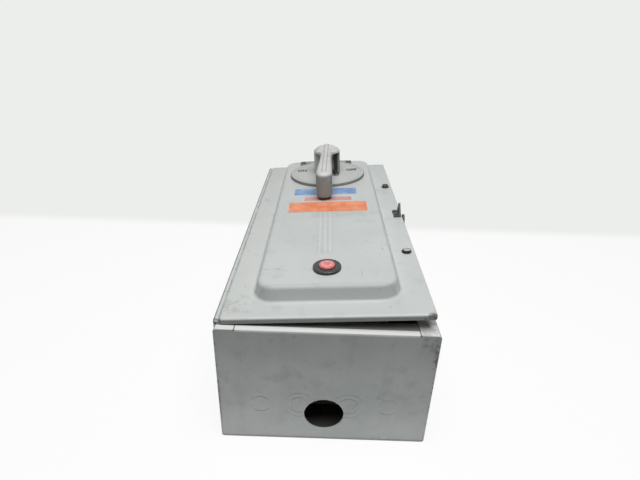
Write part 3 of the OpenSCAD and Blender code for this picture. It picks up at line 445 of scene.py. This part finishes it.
# A little less than the sheet's thickness, so that the inner faces lie inside the box
SKIN = 1.7
inside = ((0, 0, MID_Z), (SIDE_X - SKIN, BOX_L / 2 - SKIN, MID_Z - SKIN), 0.1)
flange_dirt_and_painted_light = [
    # The flange has painted light in front, painted shade under the cover, and a mottle at the free corner
    dict(colour="#DADCDA", blot=60, cut=(0.0, 0.3), share=0.92,
         box=((0, FLANGE_Y, BOX_D), (113, 9, 0.4), 0.6)),
    dict(colour="#57524D", blot=30, cut=(0.0, 0.2), share=0.85,
         box=((-10, -241.5, BOX_D), (103.9, 10.5, 0.6), 0.3)),
    dict(colour="#A29E9B", blot=8, cut=(0.4, 0.6), share=0.6, box=((105, -248, BOX_D), (10, 12, 0.6), 1.0)),
    # Painted light in the grooves of the knockouts, and painted shade inside
    dict(colour="#E2E4E3", blot=60, cut=(0.0, 0.2), share=0.9,
         box=((0, NEAR_Y + 0.8, 51), (90, 0.45, 22), 0.1)),
    dict(colour="#403E3B", blot=40, cut=(0.0, 0.2), share=0.92, rough=0.8, box=inside),
]
for x in (-SEAM_X, SEAM_X):
    seam = ((x, FLANGE_Y, BOX_D), (0.45, 12, 1.5), 0.4)
    flange_dirt_and_painted_light.append(dict(colour="#55524D", blot=20, cut=(0.0, 0.2), share=0.85, box=seam))
box_enamel = finish("worn_grey_enamel", "#B0B4B3", "#A8ADAC", 70, (0.44, 0.58), (1.8, 0.025),
                    box_dirt + near_end_wear_and_painted_light + flange_dirt_and_painted_light)
print(box_enamel.name, "with", len(flange_dirt_and_painted_light), "coats on the flange and inside")

# %% Hinge enamel
hinge_enamel = finish("hinge_grey_enamel", "#C6CAC9", "#BFC3C2", 60, (0.4, 0.5), (1.8, 0.02), [
    dict(colour="#A9A9A4", blot=14, cut=(0.5, 0.72), share=0.35),
    # Painted shade along the hinge's outer side
    dict(colour="#7F827F", blot=20, cut=(0.1, 0.4), share=0.85, box=((-117, 0, 154), (2.4, 262, 4), 0.8)),
])
print(hinge_enamel.name)

# %% [markdown]
# ## Cast handle enamel
# The handle is a sand casting under the same grey. Sand leaves a coarser skin than rolled
# sheet, about 1.2 mm from bump to bump. The crown and the lever's top keep the light grey, while
# the end, the sides of the rib and the two pockets beside the lever are painted darker as shade,
# and dirt lies along the foot.
# The handle hangs 2.1 degrees off square, so its coats are placed in its own coordinates:
# from the axis, on the dial plate, with the lever along -Y.

# %% Handle enamel
GRIP_Z = DIAL_TOP + 0.6
HANG = math.radians(-2.1)
RIB_SIDES = (-3.3, 3.1)
handle_place = Matrix.Translation(Vector((0, DIAL_Y, GRIP_Z)) * MM) @ Matrix.Rotation(HANG, 4, "Z")
handle_turn = (cover_turn @ handle_place).inverted()
HANDLE_SPACE = (tuple(handle_turn.to_euler()), tuple(handle_turn.translation / MM))
handle_coats = [
    # Clouds all over, painted shade on the end, and dirt along the foot
    dict(colour="#A9A8A3", blot=14, cut=(0.5, 0.72), share=0.5),
    dict(colour="#7B8482", blot=12, cut=(0.1, 0.4), share=0.85, box=((0, -126, 8), (20, 10, 24), 4)),
    dict(colour="#8A8984", blot=6, cut=(0.4, 0.66), share=0.5, box=((0, -60, 0), (30, 60, 4), 10)),
    # Painted shade in the left pocket and the right pocket, and deep painted shade at the back of the right
    # one
    dict(colour="#9A9994", blot=20, cut=(0.0, 0.2), share=0.45, box=((-16, -15, 17), (8, 13, 16), 1.5)),
    dict(colour="#7F7E7A", blot=20, cut=(0.0, 0.2), share=0.8, box=((16, -13, 17), (8, 13, 18.5), 1.5)),
    dict(colour="#23211F", blot=9, cut=(0.15, 0.4), share=0.95, box=((15, -6, 18), (2.2, 8, 16), 2.2)),
]
# Painted shade along both sides of the rib
for x in RIB_SIDES:
    rib_side = ((x, -50, 44), (0.5, 66, 9), 0.6)
    handle_coats.append(dict(colour="#8D8C88", blot=30, cut=(0.0, 0.2), share=0.6, box=rib_side))
handle_coats.append(dict(colour="#6F6B64", blot=2, cut=(0.70, 0.76), share=0.7))
handle_enamel = finish("cast_grey_enamel", "#CFD0CD", "#C7C8C5", 30, (0.38, 0.5), (1.2, 0.05),
                       handle_coats, HANDLE_SPACE)
print(handle_enamel.name, len(handle_coats), "coats")

# %% [markdown]
# ## Metals
# Zinc plate is bright with a cloudy spangle. The cover screws are oxidised to dark steel, the
# lower one with a painted highlight on its head, and the hasp has faded black paint over steel.
# Copper and brass inside have browned with heat and time. The magnet is a stack of iron sheets,
# which shows as fine lines, and the small plate is etched aluminium with a silky sheen. A metal
# gets its colour from its reflection, so its base colour is what it reflects, and the roughness
# tells polished from dull.

# %% Metals
LOWER_SCREW = (99, -119)
zinc = finish("zinc_plated_steel", "#B9BBBC", "#A2A5A8", 5, (0.28, 0.5), (0.7, 0.015),
              [dict(colour="#77736A", blot=9, cut=(0.6, 0.75), share=0.6, rough=0.7)], Metallic=1.0)
dark_steel = finish("oxidised_steel", "#666769", "#474748", 3, (0.3, 0.55), (0.6, 0.03), [
    dict(colour="#3A332D", blot=3, cut=(0.55, 0.7), share=0.8, rough=0.8),
    # A painted highlight on the lower screw's head
    dict(colour="#D8D9D9", blot=6, cut=(0.2, 0.5), share=0.9, rough=0.35,
         box=((*LOWER_SCREW, 161.6), (4.6, 4.6, 0.5), 0.4)),
], COVER_SPACE, Metallic=1.0)
worn_zinc = finish("worn_zinc_plate", "#A6A7A6", "#8B8B8A", 3, (0.3, 0.5), (0.7, 0.02),
                   [dict(colour="#262321", blot=4, cut=(0.47, 0.53), share=0.95, rough=0.7)], Metallic=1.0)
hasp_black = finish("black_painted_steel", "#3E3F3F", "#4D4D4C", 6, (0.4, 0.6), (1.2, 0.03),
                    [dict(colour="#8C8A86", blot=4, cut=(0.63, 0.72), share=0.8, rough=0.5)])
copper = finish("bare_copper", "#B87850", "#96573A", 7, (0.25, 0.45), (0.8, 0.01),
                [dict(colour="#5C3A2C", blot=8, cut=(0.58, 0.75), share=0.7, rough=0.6)], Metallic=1.0)
brass = finish("turned_brass", "#C4A45C", "#A98646", 6, (0.25, 0.42), (0.8, 0.01),
               [dict(colour="#6B5431", blot=8, cut=(0.6, 0.75), share=0.6, rough=0.6)], Metallic=1.0)
# Real laminations are 0.5 mm thick; they are drawn at 1.6 mm so that they show
lamination = finish("stacked_iron_laminations", "#6C6D70", "#5A5A5C", 10, (0.45, 0.6), (0.8, 0.05),
                    [dict(colour="#6B4A33", blot=7, cut=(0.6, 0.72), share=0.6, rough=0.8)],
                    lines=("X", 1.6, "#3C3C3D"), Metallic=1.0)
plate_metal = finish("etched_aluminium", "#B4B7B7", "#A6AAAA", 12, (0.35, 0.5), (0.6, 0.01),
                     [dict(colour="#7B7C7A", blot=5, cut=(0.58, 0.7), share=0.5)],
                     COVER_SPACE, Metallic=0.4)
print("metals", [m.name for m in (zinc, dark_steel, hasp_black, copper, brass, lamination, plate_metal)])

# %% [markdown]
# ## Plastics and insulation
# The button and its bezel are moulded plastic, smooth and a little glossy. The switch and
# the contactor are moulded from phenolic resin, brown or black with a fine mottle. The
# fuses have fibre tubes, and the coil is wound with varnished tape in 12 mm turns. The mounting
# panel has white enamel gone a little yellow, and the contactor's carrier is ivory resin. Each
# has a coat of dust or stain in its own colour.

# %% Plastics
black_plastic = finish("black_moulded_plastic", "#282928", "#323332", 9, (0.22, 0.34), (0.9, 0.01),
                       [dict(colour="#77756F", blot=5, cut=(0.66, 0.78), share=0.5)], COVER_SPACE)
red_plastic = finish("red_moulded_plastic", "#DA7E7A", "#D1716E", 6, (0.28, 0.4), (0.8, 0.01), [
    dict(colour="#F0CBC6", blot=1.6, cut=(0.36, 0.6), share=0.75, ring=((0, BUTTON_Y), 5.0, 2.2)),
    dict(colour="#8E2C2D", blot=4, cut=(0.58, 0.72), share=0.5),
], COVER_SPACE)
phenolic = finish("brown_phenolic", "#3C2A20", "#2C1E17", 4, (0.3, 0.45), (1.5, 0.02),
                  [dict(colour="#7C7468", blot=16, cut=(0.52, 0.75), share=0.45)])
black_phenolic = finish("black_phenolic", "#252323", "#1C1B1B", 4, (0.28, 0.42), (1.5, 0.02),
                        [dict(colour="#76736C", blot=16, cut=(0.52, 0.75), share=0.45)])
white_enamel = finish("white_panel_enamel", "#DAD9D2", "#D1D0C8", 60, (0.35, 0.5), (2.0, 0.02), [
    dict(colour="#9C968A", blot=20, cut=(0.54, 0.75), share=0.5),
    dict(colour="#6E665A", blot=2.4, cut=(0.72, 0.76), share=0.7),
])
fuse_fibre = finish("vulcanised_fibre", "#B79A74", "#A6895F", 5, (0.55, 0.7), (0.8, 0.03),
                    [dict(colour="#7A6144", blot=9, cut=(0.58, 0.74), share=0.5)],
                    lines=("Y", 42, "#8A6F4C"))
coil_tape = finish("varnished_tape", "#6E2620", "#5A1D19", 9, (0.35, 0.5), (1.0, 0.03),
                   [dict(colour="#3A1512", blot=7, cut=(0.58, 0.72), share=0.5)],
                   lines=("Y", 12, "#48160F"))
resin = finish("ivory_resin", "#D6CEB6", "#CBC2A7", 9, (0.35, 0.5), (1.2, 0.02),
               [dict(colour="#8F8468", blot=10, cut=(0.56, 0.74), share=0.5)])
print("materials so far", len(bpy.data.materials))

# %% [markdown]
# ## Printed films
# Three thin films are stuck on the raised panel, each a plain field of one printed colour. It
# is sun-faded in clouds, rubbed through to the grey paint in places, and ragged at its rim,
# which the rim coat draws with the panel's colour.

# %% Printed films
RAGGED = 1.2


def film(name, base, tone, faded, middle, half):
    whole = [side - RAGGED for side in half]
    worn_through = ((*middle, PANEL_TOP), (*whole, 9), RAGGED)
    return finish(name, base, tone, 12, (0.4, 0.55), (1.2, 0.015), [
        dict(colour=faded, blot=16, cut=(0.45, 0.68), share=0.6),
        dict(colour="#BFC1BE", blot=5, cut=(0.66, 0.7), share=0.85),
        dict(colour="#4A423B", blot=2.2, cut=(0.70, 0.75), share=0.7),
        dict(colour="#C0C3C1", blot=3.5, cut=(0.46, 0.52), share=0.95, rim=worn_through),
    ], COVER_SPACE)


orange_film = film("orange_printed_film", "#E78A60", "#DF7C52", "#ECB093", (0.6, -4), (57.5, 18.5))
blue_film = film("blue_printed_film", "#6985B3", "#7C9FCE", "#A5BEDC", (-3, 60), (49, 13.5))
red_film = film("red_printed_film", "#CC8F88", "#C57E78", "#DDBFB5", (1, 27.5), (36, 7))
print("films", orange_film.name, blue_film.name, red_film.name)

# %% [markdown]
# ## Which node wears which finish
# The record lists a material slot for every node, so the finishes are handed out by slot
# and no node can be missed. Four nodes then get their own wear: the two hinge leaves,
# which are painted as one, the padlock tab, whose plating has gone in spots, and the
# washers, which are as dark as their screws.

# %% Hand out the finishes
finishes = {
    "box_paint": box_enamel, "cover_paint": cover_enamel, "handle_paint": handle_enamel,
    "zinc_steel": zinc, "dark_steel": dark_steel, "black_steel": hasp_black,
    "black_plastic": black_plastic, "red_plastic": red_plastic, "phenolic": phenolic,
    "cover_phenolic": black_phenolic, "panel_paint": white_enamel, "copper": copper, "brass": brass,
    "fuse_fibre": fuse_fibre, "lamination": lamination, "coil_tape": coil_tape,
    "carrier_resin": resin, "orange_print": orange_film, "blue_print": blue_film,
    "red_print": red_film, "plate_metal": plate_metal,
}
for part in frame["record"]["subparts"]:
    for holder in nodes[part["node"]].material_slots:
        holder.material = finishes[part["material_slot"]]
own_finishes = {"hinge_box_leaf": hinge_enamel, "hinge_lid_leaf": hinge_enamel, "lock_tab": worn_zinc,
                "screw_washers": dark_steel}
for name, own in own_finishes.items():
    for holder in nodes[name].material_slots:
        holder.material = own

# %% [markdown]
# ## Modelling by hand, in code
# A new piece starts as a primitive and is shaped in edit mode. What an operator acts on is
# what is selected, so two small helpers do what a hand does with a mouse: one makes an
# object the only active one, the other picks its points or edges by their place. Two places
# count as the same when they are less than a hair apart.

# %% Selection helpers
HAIR = 0.1


def only(thing):
    bpy.ops.object.select_all(action="DESELECT")
    thing.select_set(True)
    bpy.context.view_layer.objects.active = thing


def pick(thing, test, edges=False):
    bpy.ops.object.mode_set(mode="OBJECT")
    mesh = thing.data
    for group in (mesh.vertices, mesh.edges, mesh.polygons):
        group.foreach_set("select", [False] * len(group))
    points = [v.co / MM for v in mesh.vertices]
    if edges:
        for edge in mesh.edges:
            edge.select = test(*(points[i] for i in edge.vertices))
    else:
        for vertex in mesh.vertices:
            vertex.select = test(points[vertex.index])
    bpy.context.tool_settings.mesh_select_mode = (not edges, edges, False)
    bpy.ops.object.mode_set(mode="EDIT")


def apply_all(thing):
    only(thing)
    for modifier in list(thing.modifiers):
        bpy.ops.object.modifier_apply(modifier=modifier.name)


def put_on_cover(thing, turn=Matrix()):
    only(thing)
    thing.matrix_world = cover_turn @ turn @ thing.matrix_world
    bpy.ops.object.transform_apply(location=True, rotation=True, scale=True)


print("helpers ready")

# %% [markdown]
# ## The handle casting
# The handle is one casting: a round hub with a domed crown, and a deep lever that narrows
# past the hub and swells to a half-round end. On both sides of the lever the hub is hollowed
# out below the crown, which stays as a roof. The drawing's hub and lever meet in hard
# lines, which a casting never has. Here the pieces are blocked out apart, joined, and turned
# into one skin of small voxels, which a smoothing pass then softens: every inner corner
# fills and every outer corner rounds, as in a sand mould.

# %% Hub of the handle
HUB_R, HUB_H, RIM_H = 22, 48, 39
DOME_POWER = 2.4
DOME_RINGS = (20.5, 17.5, 14, 10, 6, 2.5)
bpy.ops.object.select_all(action="DESELECT")
bpy.ops.mesh.primitive_cylinder_add(vertices=72, radius=HUB_R * MM, depth=RIM_H * MM,
                                    location=(0, 0, RIM_H / 2 * MM))
hub = bpy.context.object
bpy.ops.object.transform_apply(location=True, rotation=False, scale=False)
pick(hub, lambda p: p.z > RIM_H - HAIR)
radius, height = HUB_R, RIM_H
for nearer in DOME_RINGS:
    rise = HUB_H - (HUB_H - RIM_H) * (nearer / HUB_R) ** DOME_POWER - height
    bpy.ops.mesh.inset(thickness=(radius - nearer) * MM)
    bpy.ops.transform.translate(value=(0, 0, rise * MM))
    radius, height = nearer, height + rise
bpy.ops.object.mode_set(mode="OBJECT")
print("hub", len(hub.data.polygons), "faces")

# %% [markdown]
# Each pocket is a block that a Boolean takes out of the hub, between a low sill and the roof. The
# web of the lever stays between the two, and the right pocket reaches further back.


# %% Pockets beside the lever
def cut_pocket(thing, low, high):
    bpy.ops.object.select_all(action="DESELECT")
    bpy.ops.mesh.primitive_cube_add(size=MM)
    pocket = bpy.context.object
    pocket.scale = [b - a for a, b in zip(low, high)]
    pocket.location = [(a + b) / 2 * MM for a, b in zip(low, high)]
    bpy.ops.object.transform_apply(location=True, rotation=False, scale=True)
    hollow = thing.modifiers.new("pocket", "BOOLEAN")
    hollow.operation = "DIFFERENCE"
    hollow.object = pocket
    apply_all(thing)
    bpy.data.objects.remove(pocket)


SILL_Z, ROOF_Z = 2.5, 36.2
WEB_HALF, PAST_HUB = 8, 30
LEFT_BACK, RIGHT_BACK = -9, -3
cut_pocket(hub, (-PAST_HUB, -PAST_HUB, SILL_Z), (-WEB_HALF, LEFT_BACK, ROOF_Z))
cut_pocket(hub, (WEB_HALF, -PAST_HUB, SILL_Z), (PAST_HUB, RIGHT_BACK, ROOF_Z))
print("hollowed hub", len(hub.data.polygons), "faces")

# %% [markdown]
# The lever changes its width and height along its length, so it is given as sections: a place
# along Y, a half width and a height. A thin slab is cut across at each place, and the points of
# each cut are then drawn in and lifted to their section.

# %% A slab with sections
SLAB = 1


def blocked_lever(low, sections):
    near, far = sections[0][0], sections[-1][0]
    widest = max(half for y, half, high in sections)
    bpy.ops.object.select_all(action="DESELECT")
    bpy.ops.mesh.primitive_cube_add(size=MM)
    block = bpy.context.object
    block.scale = (2 * widest, near - far, SLAB)
    block.location = (0, (near + far) / 2 * MM, (low + SLAB / 2) * MM)
    bpy.ops.object.transform_apply(location=True, rotation=False, scale=True)
    bpy.ops.object.mode_set(mode="EDIT")
    for y, half, high in sections[1:-1]:
        bpy.ops.mesh.select_all(action="SELECT")
        bpy.ops.mesh.bisect(plane_co=(0, y * MM, 0), plane_no=(0, 1, 0))
    for y, half, high in sections:
        pick(block, lambda p: abs(p.y - y) < HAIR)
        bpy.ops.transform.resize(value=(half / widest, 1, 1), center_override=(0, y * MM, 0))
        pick(block, lambda p: abs(p.y - y) < HAIR and p.z > low + SLAB / 2)
        bpy.ops.transform.translate(value=(0, 0, (high - low - SLAB) * MM))
    bpy.ops.object.mode_set(mode="OBJECT")
    return block


print("slab ready")

# %% [markdown]
# The lever's free end reaches a little lower than the hub, and three bevels round the end, the
# top and the foot. Edges that cross the lever only part its sections, so they aren't bevelled.
# The shoulder is a second, flatter block that carries the roof of the pockets into the lever.

# %% Lever of the handle
LEVER_L, END_R = 126, 12.25
LEVER_SECTIONS = [
    (0, 9.0, 46.5), (-34, 9.0, 43.6), (-48, 9.1, 42.6), (-64, 9.7, 41.5), (-82, 10.8, 40.2),
    (-100, 11.9, 39.0), (END_R - LEVER_L, END_R, 38.0), (-LEVER_L, END_R, 37.2),
]
SHOULDER_SECTIONS = [
    (0, 19.5, 41.0), (-12, 17.4, 41.0), (-17, 13.8, 41.2), (-20.5, 11.0, 41.4), (-25, 9.0, 41.4),
]
FREE_Y, DROP = -75, 1.5
FOOT_Z, CROWN_Z, CROSS_W = 0.5, 30, 15
END_ROUND, TOP_ROUND, FOOT_ROUND = END_R - 0.3, 6.2, 4.0


def crosses(a, b):
    return abs(a.y - b.y) < HAIR and abs(a.x - b.x) > CROSS_W


lever = blocked_lever(0, LEVER_SECTIONS)
pick(lever, lambda p: p.y < FREE_Y and p.z < FOOT_Z)
bpy.ops.transform.translate(value=(0, 0, -DROP * MM))
pick(lever, lambda a, b: max(a.y, b.y) < HAIR - LEVER_L and abs(a.x - b.x) < HAIR, edges=True)
bpy.ops.mesh.bevel(offset=END_ROUND * MM, segments=12, affect="EDGES")
pick(lever, lambda a, b: min(a.z, b.z) > CROWN_Z and min(a.y, b.y) < -HAIR and not crosses(a, b), edges=True)
bpy.ops.mesh.bevel(offset=TOP_ROUND * MM, segments=8, affect="EDGES")
pick(lever, lambda a, b: max(a.z, b.z) < FOOT_Z and min(a.y, b.y) < FREE_Y and not crosses(a, b), edges=True)
bpy.ops.mesh.bevel(offset=FOOT_ROUND * MM, segments=5, affect="EDGES")
bpy.ops.object.mode_set(mode="OBJECT")
shoulder = blocked_lever(ROOF_Z, SHOULDER_SECTIONS)
print("lever", len(lever.data.polygons), "faces, shoulder", len(shoulder.data.polygons))

# %% [markdown]
# The three blocks are joined and given one skin. Voxels of 0.7 mm are small enough to keep the
# pockets crisp, and a few smoothing passes take their steps away.

# %% One skin
VOXEL, PASSES = 0.7, 6
only(hub)
lever.select_set(True)
shoulder.select_set(True)
bpy.ops.object.join()
handle = hub
handle.name = "handle_casting"
skin = handle.modifiers.new("skin", "REMESH")
skin.mode = "VOXEL"
skin.voxel_size = VOXEL * MM
soften = handle.modifiers.new("soften", "SMOOTH")
soften.factor = 0.5
soften.iterations = PASSES
apply_all(handle)
print("casting", len(handle.data.polygons), "faces")

# %% [markdown]
# A low rib runs along the top, rounded like a parabola. It is raised straight out of the skin, on
# the points that face up, so it has no seam. The casting then goes to its place on the dial.

# %% Rib along the top, and the casting's place
RIB_X, RIB_HALF, RIB_H = -0.1, 3.0, 1.0
RIB_FROM, RIB_TO = 8 - LEVER_L, 18
for vertex in handle.data.vertices:
    x, y, z = vertex.co / MM
    off = (x - RIB_X) / RIB_HALF
    if vertex.normal.z > 0.6 and RIB_FROM < y < RIB_TO and abs(off) < 1:
        vertex.co.z += RIB_H * MM * (1 - off * off)
put_on_cover(handle, handle_place)
bpy.ops.object.shade_smooth()
handle.data.materials.clear()
handle.data.materials.append(handle_enamel)
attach(handle, "handle")
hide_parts("handle_grip")

# %% [markdown]
# ## The button's spring
# Under the red cap stands a coil spring, which has to shorten when the button is pressed. The
# packed one is stiff, so it is wound again here: a small circle is the section of the wire, and
# a screw modifier carries it round and up. It rides with the cover; the cap travels 4 mm.

# %% Button spring
SPRING_FOOT, SPRING_L = 155, 13
SPRING_R, WIRE_R, CURLS, CURL_STEPS = 6, 0.6, 4, 28
bpy.ops.object.select_all(action="DESELECT")
bpy.ops.mesh.primitive_circle_add(vertices=10, radius=WIRE_R * MM, location=(SPRING_R * MM, 0, 0),
                                  rotation=(math.pi / 2, 0, 0))
spring = bpy.context.object
spring.name = "pressed_spring"
bpy.ops.object.transform_apply(location=True, rotation=True, scale=False)
winding = spring.modifiers.new("winding", "SCREW")
winding.axis = "Z"
winding.iterations = CURLS
winding.screw_offset = (SPRING_L - 2 * WIRE_R) / CURLS * MM
winding.steps = CURL_STEPS
winding.render_steps = CURL_STEPS
apply_all(spring)
bpy.ops.object.mode_set(mode="EDIT")
bpy.ops.mesh.select_all(action="SELECT")
bpy.ops.mesh.fill_holes(sides=0)
bpy.ops.mesh.normals_make_consistent(inside=False)
bpy.ops.object.mode_set(mode="OBJECT")
spring.location = Vector((0, BUTTON_Y, SPRING_FOOT + WIRE_R)) * MM
put_on_cover(spring)
bpy.ops.object.shade_smooth()
spring.data.materials.append(zinc)
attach(spring, "lid")
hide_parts("button_spring")
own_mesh(spring)

# %% [markdown]
# ## Marks on the dial plate
# The dial is marked for the two ends of the handle's travel. The marks are text objects,
# given a hair of thickness like paint that was stamped on, and turned into a mesh before
# they are laid on the plate.

# %% Switch marks
MARK_SIZE, MARK_TALL, MARK_BOLD = 10.5, 1.45, 0.45
MARK_LIFT, MARK_T = 0.1, 0.12
ON_AT, OFF_AT = (-44.6, 155), (42.5, 153)
mark_paint = finish("black_stamped_paint", "#2B2B2B", "#363635", 3, (0.45, 0.6), (0.8, 0.01),
                    [dict(colour="#B9BCBA", blot=2.2, cut=(0.6, 0.7), share=0.8)], COVER_SPACE)


def mark(name, words, x, y):
    bpy.ops.object.select_all(action="DESELECT")
    bpy.ops.object.text_add(location=(x * MM, y * MM, (DIAL_TOP + MARK_LIFT) * MM))
    words_object = bpy.context.object
    words_object.name = name
    words_object.data.body = words
    words_object.data.size = MARK_SIZE * MM
    words_object.data.offset = MARK_BOLD * MM
    words_object.data.extrude = MARK_T * MM
    words_object.data.align_x = "CENTER"
    words_object.data.align_y = "CENTER"
    bpy.ops.object.convert(target="MESH")
    words_object.scale = (1, MARK_TALL, 1)
    put_on_cover(words_object)
    words_object.data.materials.clear()
    words_object.data.materials.append(mark_paint)
    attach(words_object, "lid")
    return words_object


marks = [mark("on_mark", "ON", *ON_AT), mark("off_mark", "OFF", *OFF_AT)]
print("marks", [len(m.data.polygons) for m in marks])

# %% [markdown]
# ## Border of the small plate
# A small bare plate stands beyond the dial, with a dark painted border and dark ends. The
# border is a flat sheet: two cuts part the ends, the middle is inset and its inner face
# deleted, and a thin wall stands it just proud of the plate. Last, a cylinder round the
# handle's axis takes away what would reach over the dial.

# %% Plate border
PLATE_X, PLATE_Y, PLATE_W, PLATE_L = -2.7, 206, 95, 16
PLATE_TOP = PANEL_TOP + 4
BARE_EDGE, BORDER_W, END_W = 0.5, 3.4, 7
BORDER_LIFT, BORDER_T = 0.02, 0.18
DIAL_CLEAR, CUT_H = DIAL_R + 1.8, 10
bpy.ops.object.select_all(action="DESELECT")
bpy.ops.mesh.primitive_plane_add(size=MM)
border = bpy.context.object
border.name = "plate_border"
border.scale = (PLATE_W - 2 * BARE_EDGE, PLATE_L - 2 * BARE_EDGE, 1)
bpy.ops.object.transform_apply(location=False, rotation=False, scale=True)
bpy.ops.object.mode_set(mode="EDIT")
end_x = PLATE_W / 2 - END_W
for x in (-end_x, end_x):
    bpy.ops.mesh.select_all(action="SELECT")
    bpy.ops.mesh.bisect(plane_co=(x * MM, 0, 0), plane_no=(1, 0, 0))
pick(border, lambda p: abs(p.x) < end_x + HAIR)
bpy.ops.mesh.inset(thickness=BORDER_W * MM)
bpy.ops.mesh.delete(type="FACE")
bpy.ops.object.mode_set(mode="OBJECT")
border.location = Vector((PLATE_X, PLATE_Y, PLATE_TOP + BORDER_LIFT)) * MM
only(border)
bpy.ops.object.transform_apply(location=True, rotation=False, scale=False)
wall = border.modifiers.new("wall", "SOLIDIFY")
wall.thickness = BORDER_T * MM
wall.offset = 1
apply_all(border)
bpy.ops.object.select_all(action="DESELECT")
bpy.ops.mesh.primitive_cylinder_add(vertices=160, radius=DIAL_CLEAR * MM, depth=CUT_H * MM,
                                    location=Vector((0, DIAL_Y, PLATE_TOP)) * MM)
dial_room = bpy.context.object
trim = border.modifiers.new("trim", "BOOLEAN")
trim.operation = "DIFFERENCE"
trim.object = dial_room
apply_all(border)
bpy.data.objects.remove(dial_room)
put_on_cover(border)
border.data.materials.append(mark_paint)
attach(border, "lid")
print("border", len(border.data.polygons), "faces")

# %% [markdown]
# ## View settings and the end
# Standard shows the colours as they are written.

# %% View settings
bpy.context.scene.view_settings.view_transform = "Standard"
